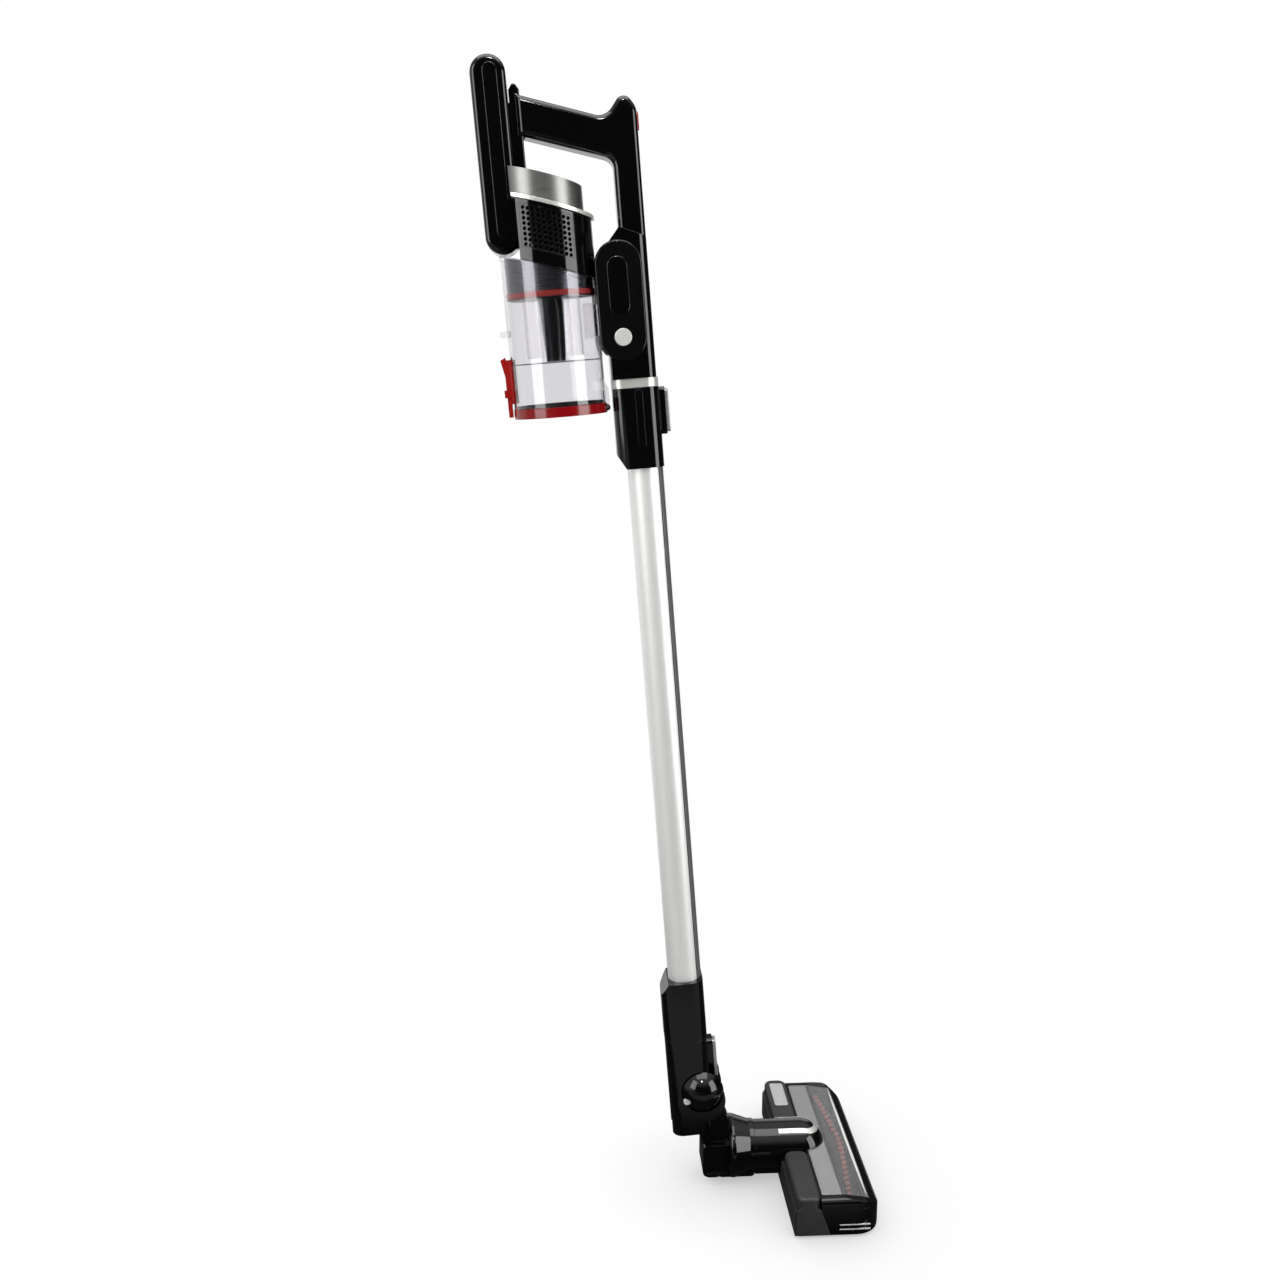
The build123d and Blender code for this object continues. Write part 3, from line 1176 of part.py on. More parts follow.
# Spaces that several pieces of the head leave free
barrel_space = barrel_body(SNUG)
brush_chamber = along_y(CHAMBER_R, BRUSH_X, BRUSH_Z, -CHAMBER_HALF, CHAMBER_HALF)
with BuildPart() as end_cap_space:
    space = block(Plane.XZ.offset(-END_CAP_Y - GAP), (END_CAP_REAR - GAP, 0), (HEAD_FRONT, END_CAP_TOP + GAP))
    extrude(space, amount=HEAD_HALF)
with BuildPart() as belt_space:
    pocket = BELT_HIGH - BELT_LOW + 2 * BELT_SIDE_SPACE
    pocket_plane = Plane.XZ.offset(-BELT_HIGH - BELT_SIDE_SPACE)
    for x, r in ((PINION_X, PINION_R), (BRUSH_X, PULLEY_R)):
        extrude(disc(pocket_plane, r + BELT_SPACE, x, BRUSH_Z), amount=pocket)
    drop = PULLEY_R + BELT_SPACE
    extrude(block(pocket_plane, (PINION_X, BRUSH_Z - drop), (BRUSH_X, BASE_HIGH)), amount=pocket)

# Base: sole with the brush chamber and mouth, motor bays, wheel wells and the airway
base_block = head_plan(BASE_LOW, BASE_HIGH, BASE_FRONT, BASE_HALF, BASE_CORNER_R)
with BuildPart() as head_base:
    add(base_block)
    add(brush_chamber, mode=Mode.SUBTRACT)
    mouth = block(Plane.XY, (BRUSH_X - MOUTH_HALF, -CHAMBER_HALF), (BRUSH_X + MOUTH_HALF, CHAMBER_HALF))
    extrude(mouth, amount=BRUSH_Z, mode=Mode.SUBTRACT)
    chamber_low = (BRUSH_X - CHAMBER_R, -CHAMBER_HALF)
    chamber_high = (BRUSH_X + CHAMBER_R, CHAMBER_HALF)
    extrude(block(Plane.XY.offset(BRUSH_Z), chamber_low, chamber_high), amount=BASE_HIGH, mode=Mode.SUBTRACT)
    left_bay = block(Plane.XY.offset(BRUSH_Z), (HEAD_REAR + WALL, BAY_INNER), (BAY_FRONT, BAY_OUTER))
    extrude(left_bay, amount=BASE_HIGH, mode=Mode.SUBTRACT)
    add(along_y(BRUSH_MOTOR_R, PINION_X, BRUSH_Z, BRUSH_MOTOR_LOW, BAY_OUTER), mode=Mode.SUBTRACT)
    right_bay = block(Plane.XY.offset(BASE_FLOOR), (HEAD_REAR + WALL, -BAY_OUTER), (BAY_FRONT, -BAY_INNER))
    extrude(right_bay, amount=BASE_HIGH, mode=Mode.SUBTRACT)
    airway = block(Plane.XY.offset(AIRWAY_LOW), (AIRWAY_REAR, -AIRWAY_HALF), (BRUSH_X, AIRWAY_HALF))
    extrude(airway, amount=AIRWAY_HIGH - AIRWAY_LOW, mode=Mode.SUBTRACT)
    add(barrel_space, mode=Mode.SUBTRACT)
    add(belt_space.part, mode=Mode.SUBTRACT)
    add(end_cap_space.part, mode=Mode.SUBTRACT)
    bearing_low = BELT_HIGH + BELT_SIDE_SPACE
    add(along_y(SHAFT_HOLE_R, BRUSH_X, BRUSH_Z, -BASE_HALF, BELT_HIGH), mode=Mode.SUBTRACT)
    add(along_y(BEARING_R, BRUSH_X, BRUSH_Z, bearing_low, bearing_low + BEARING_WIDTH), mode=Mode.SUBTRACT)
    pinion_hole = along_y(PINION_SHAFT_R + 2 * GAP, PINION_X, BRUSH_Z, BAY_OUTER, BELT_HIGH)
    add(pinion_hole, mode=Mode.SUBTRACT)
    roller_half = ROLLER_WIDTH / 2 + ROLLER_SLACK
    roller_reach = ROLLER_R + ROLLER_SLACK
    for y in (-ROLLER_Y, ROLLER_Y):
        well_low = (ROLLER_X - roller_reach, y - roller_half)
        well_high = (ROLLER_X + roller_reach, y + roller_half)
        extrude(block(Plane.XY, well_low, well_high), amount=ROLLER_R + roller_reach, mode=Mode.SUBTRACT)
        pin_reach = roller_half + ROLLER_PIN_REACH + GAP
        pin_hole = along_y(ROLLER_PIN_R + RUN, ROLLER_X, ROLLER_R, y - pin_reach, y + pin_reach)
        add(pin_hole, mode=Mode.SUBTRACT)
finish(head_base.part, "head_base")

# Front frame: glossy rim around the window, with the bumper, the ends and ledges below the window
frame_space = head_plan(0, BASE_HIGH + SNUG, BASE_FRONT + SNUG, BASE_HALF + SNUG, BASE_CORNER_R)
with BuildPart() as head_frame:
    add(head_outside.part)
    add(frame_space, mode=Mode.SUBTRACT)
    for low, half in ((HEAD_LOW, LEDGE_HALF), (PANEL_LOW, WINDOW_HALF + SNUG)):
        opening_low = (WINDOW_REAR - SNUG, -half)
        opening_high = (WINDOW_FRONT + SNUG, half)
        extrude(block(Plane.XY.offset(low), opening_low, opening_high), amount=HEAD_TOP, mode=Mode.SUBTRACT)
    add(brush_chamber, mode=Mode.SUBTRACT)
    rear_edge = PAD_FRONT + SNUG
    foot_edge = PAD_FOOT + SNUG
    rear = [(0, 0), (foot_edge, 0), (foot_edge, HEAD_LOW)]
    rear += [(rear_edge, PAD_BEND), (rear_edge, PAD_TOP), (0, PAD_TOP)]
    extrude(outline(Plane.XZ, rear), amount=HEAD_HALF, both=True, mode=Mode.SUBTRACT)
    add(barrel_space, mode=Mode.SUBTRACT)
    add(end_cap_space.part, mode=Mode.SUBTRACT)
finish(head_frame.part, "head_frame")

# Roller end cap: closes the brush chamber on the right, carries the shaft, two grooves across its end
with BuildPart() as end_cap:
    add(head_outside.part)
    cap_block = block(Plane.XZ.offset(-END_CAP_Y), (END_CAP_REAR, 0), (HEAD_FRONT, END_CAP_TOP))
    extrude(cap_block, amount=HEAD_HALF, mode=Mode.INTERSECT)
    for z in GROOVES:
        groove = block(Plane.XZ.offset(HEAD_HALF), (GROOVE_REAR, z), (GROOVE_FRONT, z + GROOVE_WIDTH))
        extrude(groove, amount=-GROOVE_DEPTH, mode=Mode.SUBTRACT)
    shaft_seat = along_y(BRUSH_SHAFT_R + RUN, BRUSH_X, BRUSH_Z, SHAFT_RIGHT - GAP, END_CAP_Y)
    add(shaft_seat, mode=Mode.SUBTRACT)
finish(end_cap.part, "roller_end_cap")

# Matte rear pads on both sides of the barrel, folded down over the ends
pad_low = BASE_HIGH + SNUG
with BuildPart() as rear_pad:
    pad = block(Plane.XY.offset(pad_low), (PAD_REAR, -HEAD_HALF), (PAD_FRONT, -PAD_INNER), PAD_CORNER_R)
    extrude(pad, amount=PAD_TOP - pad_low)
    fillet(rear_pad.faces().sort_by(Axis.Z)[-1].edges(), PAD_EDGE)
    fold = [
        (PAD_REAR, HEAD_LOW),
        (PAD_FOOT, HEAD_LOW),
        (PAD_FRONT, PAD_BEND),
        (PAD_FRONT - PAD_CORNER_R, PAD_TOP - PAD_SLOPE),
        (PAD_REAR + PAD_CORNER_R, PAD_TOP - PAD_SLOPE),
        (PAD_REAR, PAD_BEND),
    ]
    end_wall = outline(Plane.XZ.offset(BASE_HALF + SNUG), fold, [(fold[0], 3)])
    extrude(end_wall, amount=HEAD_HALF - BASE_HALF - SNUG)
    add(barrel_space, mode=Mode.SUBTRACT)
    hollow_low = (PAD_REAR + WALL, WALL - BASE_HALF)
    hollow_high = (PAD_FRONT - WALL, -PAD_INNER - WALL)
    hollow = block(Plane.XY.offset(pad_low), hollow_low, hollow_high, PAD_CORNER_R - WALL)
    extrude(hollow, amount=PAD_TOP - pad_low - 2 * WALL, mode=Mode.SUBTRACT)
finish(rear_pad.part, "rear_pad_right")
finish(mirrored(rear_pad.part), "rear_pad_left")

# Clear window that follows the head's top, and the grey panel below its rear half
window_top = HEAD_TOP - GAP
with BuildPart() as clear_window:
    follow = [(WINDOW_REAR, window_top), (HEAD_BEND[0], window_top), (WINDOW_FRONT, window_top - WINDOW_DROP)]
    follow += [(x, z - WINDOW_THICK) for x, z in reversed(follow)]
    bends = [(follow[1], WINDOW_BEND_R), (follow[4], WINDOW_BEND_R - WINDOW_THICK)]
    extrude(outline(Plane.XZ, follow, bends), amount=WINDOW_HALF, both=True)
    add(barrel_space, mode=Mode.SUBTRACT)
finish(clear_window.part, "clear_window")

with BuildPart() as baffle_panel:
    panel = block(Plane.XY.offset(PANEL_LOW), (WINDOW_REAR, -WINDOW_HALF), (PANEL_FRONT, WINDOW_HALF))
    extrude(panel, amount=window_top - WINDOW_THICK - GAP - PANEL_LOW)
    add(barrel_space, mode=Mode.SUBTRACT)
finish(baffle_panel.part, "baffle_panel")

# Brush roller: core with its shaft and pulley, and two helical rows of tufts that meet in the middle
with BuildPart() as brush_core:
    add(along_y(BRUSH_R, BRUSH_X, BRUSH_Z, -BRUSH_HALF, BRUSH_HALF))
    add(along_y(BRUSH_SHAFT_R, BRUSH_X, BRUSH_Z, SHAFT_RIGHT, SHAFT_LEFT))
    add(along_y(PULLEY_R, BRUSH_X, BRUSH_Z, BELT_LOW, BELT_HIGH))
finish(brush_core.part, "brush_core")

tuft_pitch = 2 * (BRUSH_HALF - BRISTLE_END) / TUFTS_PER_ROW
bristle_planes = []
for row in range(BRISTLE_ROWS):
    for tuft in range(TUFTS_PER_ROW):
        middle = (tuft - (TUFTS_PER_ROW - 1) / 2) * tuft_pitch
        turn = BRISTLE_START + 360 / BRISTLE_ROWS * row + BRISTLE_TWIST * abs(middle) / BRUSH_HALF
        for column in range(TUFT_COLUMNS):
            y = middle + (column - (TUFT_COLUMNS - 1) / 2) * TUFT_STEP
            for sweep in (-TUFT_SWEEP / 2, TUFT_SWEEP / 2):
                angle = radians(turn + sweep)
                ray = Vector(cos(angle), 0, sin(angle))
                root = Vector(BRUSH_X, y, BRUSH_Z) + ray * (BRUSH_R + BRISTLE_ROOT)
                bristle_planes.append(Plane(origin=root, x_dir=(0, 1, 0), z_dir=ray))
with BuildPart() as brush_bristles:
    sleeve_half = BRUSH_HALF - 1
    sleeve = disc(Plane.XZ, BRUSH_R + BRISTLE_SLEEVE, BRUSH_X, BRUSH_Z, bore=BRUSH_R)
    extrude(sleeve, amount=sleeve_half, both=True)
    strand = BRISTLE_R - BRUSH_R - BRISTLE_ROOT
    with Locations(*bristle_planes):
        Box(BRISTLE_SIDE, BRISTLE_SIDE, strand, align=(Align.CENTER, Align.CENTER, Align.MIN))
finish(brush_bristles.part, "brush_bristles")

# Brush drive: bearing at the far end, belt, pinion and motor
with BuildPart() as roller_bearing:
    ring_plane = Plane.XZ.offset(-bearing_low - BEARING_WIDTH)
    extrude(disc(ring_plane, BEARING_R, BRUSH_X, BRUSH_Z, bore=BRUSH_SHAFT_R + RUN), amount=BEARING_WIDTH)
finish(roller_bearing.part, "roller_bearing")


def belt_loop(extra):
    """Outline of a belt around the pinion and the pulley, at a distance from both."""
    with BuildSketch(Plane.XZ.offset(-BELT_HIGH)) as loop:
        with Locations((PINION_X, BRUSH_Z)):
            Circle(PINION_R + extra)
        with Locations((BRUSH_X, BRUSH_Z)):
            Circle(PULLEY_R + extra)
        make_hull()
    return loop.sketch


with BuildPart() as drive_belt:
    extrude(belt_loop(GAP / 2 + BELT_THICK), amount=BELT_HIGH - BELT_LOW)
    extrude(belt_loop(GAP / 2), amount=BELT_HIGH - BELT_LOW, mode=Mode.SUBTRACT)
finish(drive_belt.part, "drive_belt")

with BuildPart() as motor_pinion:
    add(along_y(PINION_R, PINION_X, BRUSH_Z, BELT_LOW, BELT_HIGH))
    add(along_y(PINION_SHAFT_R, PINION_X, BRUSH_Z, PINION_SHAFT_LOW, BELT_HIGH))
finish(motor_pinion.part, "motor_pinion")

with BuildPart() as brush_motor:
    add(along_y(BRUSH_MOTOR_R, PINION_X, BRUSH_Z, BRUSH_MOTOR_LOW, BAY_OUTER))
    shaft_seat = along_y(PINION_SHAFT_R + RUN, PINION_X, BRUSH_Z, PINION_SHAFT_LOW - GAP, BAY_OUTER)
    add(shaft_seat, mode=Mode.SUBTRACT)
finish(brush_motor.part, "brush_motor")

# Small front wheels with pins that turn in the base, and the soft glide strip behind them
with BuildPart() as front_wheels:
    for y in (-ROLLER_Y, ROLLER_Y):
        wheel_half = ROLLER_WIDTH / 2
        pin_half = roller_half + ROLLER_PIN_REACH
        add(along_y(ROLLER_R, ROLLER_X, ROLLER_R, y - wheel_half, y + wheel_half))
        add(along_y(ROLLER_PIN_R, ROLLER_X, ROLLER_R, y - pin_half, y + pin_half))
finish(front_wheels.part, "front_wheels")

with BuildPart() as glide_strip:
    strip = block(Plane.XY, (GLIDE_REAR, -GLIDE_HALF), (GLIDE_FRONT, GLIDE_HALF), GLIDE_R)
    extrude(strip, amount=BASE_LOW)
finish(glide_strip.part, "glide_strip")
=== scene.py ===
"""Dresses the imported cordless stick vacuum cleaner: its finishes, its fine trim and a plain studio."""

from __future__ import annotations

import json
import logging
import math
from dataclasses import dataclass, field
from enum import Enum

import bpy
import numpy as np
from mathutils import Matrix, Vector

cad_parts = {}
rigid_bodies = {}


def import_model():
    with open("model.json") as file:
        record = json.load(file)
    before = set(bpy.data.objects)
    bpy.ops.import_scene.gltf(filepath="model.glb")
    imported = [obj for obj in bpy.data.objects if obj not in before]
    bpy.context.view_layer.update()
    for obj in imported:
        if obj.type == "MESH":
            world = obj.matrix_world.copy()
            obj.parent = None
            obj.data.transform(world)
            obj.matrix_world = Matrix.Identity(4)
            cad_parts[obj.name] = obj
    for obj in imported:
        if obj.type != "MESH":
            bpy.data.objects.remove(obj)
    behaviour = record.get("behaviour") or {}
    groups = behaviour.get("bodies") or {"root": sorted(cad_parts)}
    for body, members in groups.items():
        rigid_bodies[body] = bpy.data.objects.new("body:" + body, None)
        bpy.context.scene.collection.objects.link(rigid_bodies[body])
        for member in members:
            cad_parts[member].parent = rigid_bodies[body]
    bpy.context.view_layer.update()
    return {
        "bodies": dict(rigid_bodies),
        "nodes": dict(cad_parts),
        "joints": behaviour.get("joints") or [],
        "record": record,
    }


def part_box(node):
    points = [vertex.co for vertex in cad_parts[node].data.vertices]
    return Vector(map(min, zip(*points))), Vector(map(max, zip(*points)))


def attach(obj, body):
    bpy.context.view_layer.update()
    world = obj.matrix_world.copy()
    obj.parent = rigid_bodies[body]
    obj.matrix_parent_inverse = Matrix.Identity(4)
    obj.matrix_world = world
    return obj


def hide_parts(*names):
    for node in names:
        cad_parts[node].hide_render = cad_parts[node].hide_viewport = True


LOG = logging.getLogger("stick_vacuum")
MM = 0.001
Tree = bpy.types.NodeTree
Socket = bpy.types.NodeSocket
Faces = list[list[int]]
Shape = tuple[np.ndarray, Faces]
NOISE_RANGE = (0.3, 0.7)
COLOUR_STOPS = (0.35, 0.65)


def linear(colour: str) -> tuple[float, float, float, float]:
    """Turn an sRGB hex colour into linear light.

    Args:
        colour: Colour such as "#d8d8d6".

    Returns:
        Red, green, blue and alpha in linear light.
    """
    parts = [int(colour[i : i + 2], 16) / 255 for i in (1, 3, 5)]
    light = [p / 12.92 if p <= 0.04045 else ((p + 0.055) / 1.055) ** 2.4 for p in parts]
    return (light[0], light[1], light[2], 1.0)


def add_node(tree: Tree, kind: str, inputs: dict | None = None, **settings: object) -> bpy.types.Node:
    """Add a node with its settings, and set or link its inputs.

    Args:
        tree: Node tree that takes the node.
        kind: Blender's name of the node type.
        inputs: Value or source socket for each named or numbered input.
        **settings: Properties of the node itself.

    Returns:
        The new node.
    """
    made = tree.nodes.new(kind)
    for name, value in settings.items():
        setattr(made, name, value)
    for name, value in (inputs or {}).items():
        if isinstance(value, Socket):
            tree.links.new(value, made.inputs[name])
        else:
            made.inputs[name].default_value = value
    return made


def per_metre(size_mm: float) -> float:
    """Scale of a noise whose features have a size in millimetres."""
    return 1 / (size_mm * MM)


@dataclass(frozen=True)
class Finish:
    """A surface finish: one real material and how its surface was made."""

    name: str
    colour: str
    roughness: float
    metallic: float = 0.0
    ior: float = 1.5
    transmission: float = 0.0

    def build(self) -> bpy.types.Material:
        """Make the Blender material of this finish.

        Returns:
            The material, with its pattern linked to the shader.
        """
        material = bpy.data.materials.new(self.name)
        material.use_nodes = True
        tree = material.node_tree
        shader = tree.nodes["Principled BSDF"]
        shader.inputs["Base Color"].default_value = linear(self.colour)
        shader.inputs["Roughness"].default_value = self.roughness
        shader.inputs["Metallic"].default_value = self.metallic
        shader.inputs["IOR"].default_value = self.ior
        shader.inputs["Transmission Weight"].default_value = self.transmission
        self.dress(tree, shader)
        return material

    def dress(self, tree: Tree, shader: bpy.types.Node) -> None:
        """Link the pattern of the surface, if it has one."""

    def noise(
        self, tree: Tree, size_mm: float, detail: float = 2.0, stretch: Stretch | None = None
    ) -> Socket:
        """Noise in object space.

        Args:
            tree: Node tree of the material.
            size_mm: Size of the noise's features.
            detail: Layers of finer noise.
            stretch: Turn and stretch of the pattern, or none.

        Returns:
            The socket with the noise's value.
        """
        place = add_node(tree, "ShaderNodeTexCoord").outputs["Object"]
        if stretch is not None:
            turned = {"Vector": place, "Rotation": stretch.turn, "Scale": stretch.scale}
            place = add_node(tree, "ShaderNodeMapping", turned).outputs["Vector"]
        inputs = {"Vector": place, "Scale": per_metre(size_mm), "Detail": detail}
        return add_node(tree, "ShaderNodeTexNoise", inputs).outputs["Fac"]

    def spread(self, tree: Tree, value: Socket, low: float, high: float) -> Socket:
        """Spread a noise value over a range.

        Args:
            tree: Node tree of the material.
            value: Noise between about 0.3 and 0.7.
            low: Result at the low end.
            high: Result at the high end.

        Returns:
            The socket with the spread value.
        """
        least, most = NOISE_RANGE
        inputs = {"Value": value, "From Min": least, "From Max": most, "To Min": low, "To Max": high}
        return add_node(tree, "ShaderNodeMapRange", inputs).outputs["Result"]

    def between(self, tree: Tree, value: Socket, other: str) -> Socket:
        """Colour between this finish's own and another one, by a noise value."""
        stops = add_node(tree, "ShaderNodeValToRGB", {"Fac": value})
        for stop, place, colour in zip(stops.color_ramp.elements, COLOUR_STOPS, (self.colour, other)):
            stop.position = place
            stop.color = linear(colour)
        return stops.outputs["Color"]

    def bump(self, tree: Tree, height: Socket, depth_mm: float, edge_mm: float = 0.0) -> Socket:
        """Bump from a height, over edges that are softly rounded.

        Args:
            tree: Node tree of the material.
            height: Height between 0 and 1.
            depth_mm: Depth of the pattern.
            edge_mm: Radius to which sharp edges are rounded, or 0.

        Returns:
            The socket with the normal.
        """
        inputs = {"Height": height, "Distance": depth_mm * MM, "Strength": 1.0}
        if edge_mm:
            rounded = add_node(tree, "ShaderNodeBevel", {"Radius": edge_mm * MM}, samples=4)
            inputs["Normal"] = rounded.outputs["Normal"]
        return add_node(tree, "ShaderNodeBump", inputs).outputs["Normal"]


@dataclass(frozen=True)
class Stretch:
    """Turn and stretch of a pattern: radians about each axis, and a scale along each."""

    turn: tuple[float, float, float]
    scale: tuple[float, float, float]


@dataclass(frozen=True)
class GlossMoulding(Finish):
    """Plastic from a polished mould: a mirror-like skin with faint waves and handling marks."""

    wave_mm: float = 9.0
    wave_depth_mm: float = 0.012
    smear_mm: float = 26.0
    smear: float = 0.06
    edge_mm: float = 0.5

    def dress(self, tree: Tree, shader: bpy.types.Node) -> None:
        """Waves bend the reflections a little, and smears dull them in places."""
        smear = self.noise(tree, self.smear_mm, 5.0)
        rough = self.spread(tree, smear, self.roughness, self.roughness + self.smear)
        tree.links.new(rough, shader.inputs["Roughness"])
        normal = self.bump(tree, self.noise(tree, self.wave_mm), self.wave_depth_mm, self.edge_mm)
        tree.links.new(normal, shader.inputs["Normal"])


@dataclass(frozen=True)
class GrainedMoulding(Finish):
    """Plastic or rubber from an etched mould: a fine grain and slightly uneven colour."""

    other: str = "#000000"
    grain_mm: float = 0.8
    grain_depth_mm: float = 0.05
    patch_mm: float = 18.0
    edge_mm: float = 0.5
    glossier: float = 0.05
    duller: float = 0.08

    def dress(self, tree: Tree, shader: bpy.types.Node) -> None:
        """The grain breaks up the highlights, and patches vary the colour."""
        patch = self.noise(tree, self.patch_mm, 4.0)
        tree.links.new(self.between(tree, patch, self.other), shader.inputs["Base Color"])
        grain = self.noise(tree, self.grain_mm)
        rough = self.spread(tree, grain, self.roughness - self.glossier, self.roughness + self.duller)
        tree.links.new(rough, shader.inputs["Roughness"])
        normal = self.bump(tree, grain, self.grain_depth_mm, self.edge_mm)
        tree.links.new(normal, shader.inputs["Normal"])


@dataclass(frozen=True)
class BrushedMetal(Finish):
    """Metal with lines left by brushing, which run square to the stretched axis."""

    other: str = "#ffffff"
    line_mm: float = 0.35
    line_depth_mm: float = 0.012
    lean: float = 0.0
    along: float = 0.02
    edge_mm: float = 0.4
    glossier: float = 0.06
    duller: float = 0.1

    def dress(self, tree: Tree, shader: bpy.types.Node) -> None:
        """The lines spread the highlights across themselves and streak the colour."""
        stretch = Stretch((0.0, self.lean, 0.0), (self.along, self.along, 1.0))
        lines = self.noise(tree, self.line_mm, 3.0, stretch)
        tree.links.new(self.between(tree, lines, self.other), shader.inputs["Base Color"])
        rough = self.spread(tree, lines, self.roughness - self.glossier, self.roughness + self.duller)
        tree.links.new(rough, shader.inputs["Roughness"])
        normal = self.bump(tree, lines, self.line_depth_mm, self.edge_mm)
        tree.links.new(normal, shader.inputs["Normal"])


@dataclass(frozen=True)
class ClearMoulding(Finish):
    """Clear plastic: it bends light, tints it a little and has a faintly wavy skin."""

    wave_mm: float = 14.0
    wave_depth_mm: float = 0.01
    haze: float = 0.05

    def dress(self, tree: Tree, shader: bpy.types.Node) -> None:
        """Waves of the moulding move the reflections, and a haze of handling dulls them."""
        haze = self.noise(tree, self.wave_mm, 5.0)
        rough = self.spread(tree, haze, self.roughness, self.roughness + self.haze)
        tree.links.new(rough, shader.inputs["Roughness"])
        normal = self.bump(tree, self.noise(tree, self.wave_mm), self.wave_depth_mm)
        tree.links.new(normal, shader.inputs["Normal"])


class Surface(Enum):
    """The finishes of this vacuum cleaner."""

    # High-gloss ABS: deep black with clean, sharp reflections
    GLOSS_BLACK = GlossMoulding("piano_black_abs", "#030304", 0.06, ior=1.48)
    # Spark-eroded ABS: dark charcoal that shows only a broad sheen
    MATTE_CHARCOAL = GrainedMoulding("etched_charcoal_abs", "#1f1f21", 0.5, other="#1a1a1c")
    # Smooth ABS with a satin skin: near black with a soft, low sheen
    SATIN_BLACK = GrainedMoulding(
        "satin_black_abs", "#050506", 0.2, ior=1.35, other="#040405", grain_depth_mm=0.002
    )
    # Bead-blasted anodised aluminium: pale, with soft broad highlights and a fine grain
    WAND_ALUMINIUM = GrainedMoulding(
        "blasted_anodised_aluminium", "#e0e0de", 0.4, metallic=0.6, other="#dddddb",
        grain_mm=0.9, grain_depth_mm=0.012, edge_mm=0.2,
    )
    # Strip over the wiring: anodised aluminium painted darker, as painted shade of the strip's step
    SHADED_STRIP_ALUMINIUM = GrainedMoulding(
        "shaded_strip_aluminium", "#88888b", 0.42, metallic=0.8, other="#828285",
        grain_depth_mm=0.012, edge_mm=0.2,
    )
    # Turned and brushed aluminium: dark and bright streaks across fine lines
    BRUSHED_SILVER = BrushedMetal(
        "brushed_aluminium", "#7d7e7b", 0.34, metallic=0.95, other="#878885",
        lean=-0.0785, line_depth_mm=0.006,
    )
    # Satin silver lacquer: bright and even
    SATIN_SILVER = GrainedMoulding(
        "satin_silver_lacquer", "#dcdbd6", 0.3, metallic=0.7, other="#d3d2cd",
        grain_mm=0.6, grain_depth_mm=0.008,
    )
    # Pearl silver lacquer on small buttons: nearly white, with little mirror in it
    PEARL_SILVER = GrainedMoulding(
        "pearl_silver_lacquer", "#bcbbb7", 0.32, metallic=0.35, other="#b6b5b1",
        grain_mm=0.6, grain_depth_mm=0.006,
    )
    # Polished metal coat inside the bin: clear bands of light and dark
    METAL_COAT = BrushedMetal(
        "vacuum_metallised_abs", "#5c5d63", 0.3, metallic=1.0, other="#64656b", line_depth_mm=0.003
    )
    # Grey anodised-look plastic of the latch faces
    LATCH_GREY = GrainedMoulding(
        "satin_grey_abs", "#9b9c9e", 0.32, metallic=0.6, other="#8f9092", grain_depth_mm=0.012
    )
    # Translucent red ABS: light enters it and glows at thin edges
    RED_ABS = GlossMoulding("translucent_red_abs", "#961611", 0.12, transmission=0.2)
    # Deeper red of the thick lid ring
    DEEP_RED_ABS = GlossMoulding("deep_red_abs", "#700509", 0.12, transmission=0.1)
    # Red silicone: soft sheen
    RED_SILICONE = GrainedMoulding("red_silicone", "#b02a26", 0.42, other="#a62622", grain_depth_mm=0.01)
    # Clear polycarbonate: almost colourless, a little grey where it is thick
    CLEAR_BIN = ClearMoulding("clear_polycarbonate", "#f1f0f2", 0.02, ior=1.45, transmission=1.0)
    # Edge of a clear moulding seen end on: grey
    SMOKE_STEP = ClearMoulding("clear_polycarbonate_edge", "#9a9aa0", 0.1, ior=1.45, transmission=0.6)
    # Hard-coated acrylic of the window in the head: clear, with a slight milky haze
    CLEAR_WINDOW = ClearMoulding("clear_acrylic", "#f2f2f2", 0.04, ior=1.47, transmission=0.94)
    # Satin grey ABS of the panel below the window
    GREY_PANEL = GrainedMoulding(
        "satin_panel_grey_abs", "#a6a6a6", 0.38, other="#9d9d9d", grain_depth_mm=0.015
    )
    # Dark blue-grey ABS inside the bin and the roller: dull, so that it stays dark behind clear walls
    GREY_CORE = GrainedMoulding(
        "blue_grey_abs", "#171a20", 0.32, ior=1.4, other="#13151a", grain_depth_mm=0.01
    )
    # Near-black sheet behind the grilles: painted shade that keeps their holes dark
    GRILLE_SHADE_SHEET = GrainedMoulding("grille_shade_sheet", "#0a0a0a", 0.95, ior=1.2, other="#101010", edge_mm=0.0)
    # Rubber: dull black with a dusty grain
    BLACK_RUBBER = GrainedMoulding("black_rubber", "#161616", 0.7, other="#1f1f1f", grain_mm=1.2)
    # Pale strip on the acrylic's front edge: a painted highlight along the pane's curved edge
    PANE_HIGHLIGHT = ClearMoulding("painted_highlight_acrylic", "#f4f4f4", 0.3, ior=1.47, transmission=0.5)
    # Nylon filament: deep red, painted darker near the roots as painted shade where little light comes
    RED_NYLON = GrainedMoulding("red_nylon", "#8f201c", 0.45, other="#a32a25", patch_mm=2.4, edge_mm=0.0)
    # Ends of the filaments: paler, a painted highlight where the tips catch the light
    LIT_NYLON = GrainedMoulding("lit_red_nylon", "#e2867b", 0.5, other="#eda79d", patch_mm=2.4, edge_mm=0.0)
    # Zinc-plated steel: bright with fine turning lines
    STEEL = BrushedMetal("zinc_plated_steel", "#b3b4b6", 0.25, metallic=1.0, other="#c4c5c7")
    # Deep-drawn motor and cell cans
    MOTOR_CAN = BrushedMetal("drawn_steel_can", "#8d8f92", 0.34, metallic=1.0, other="#a0a2a5")
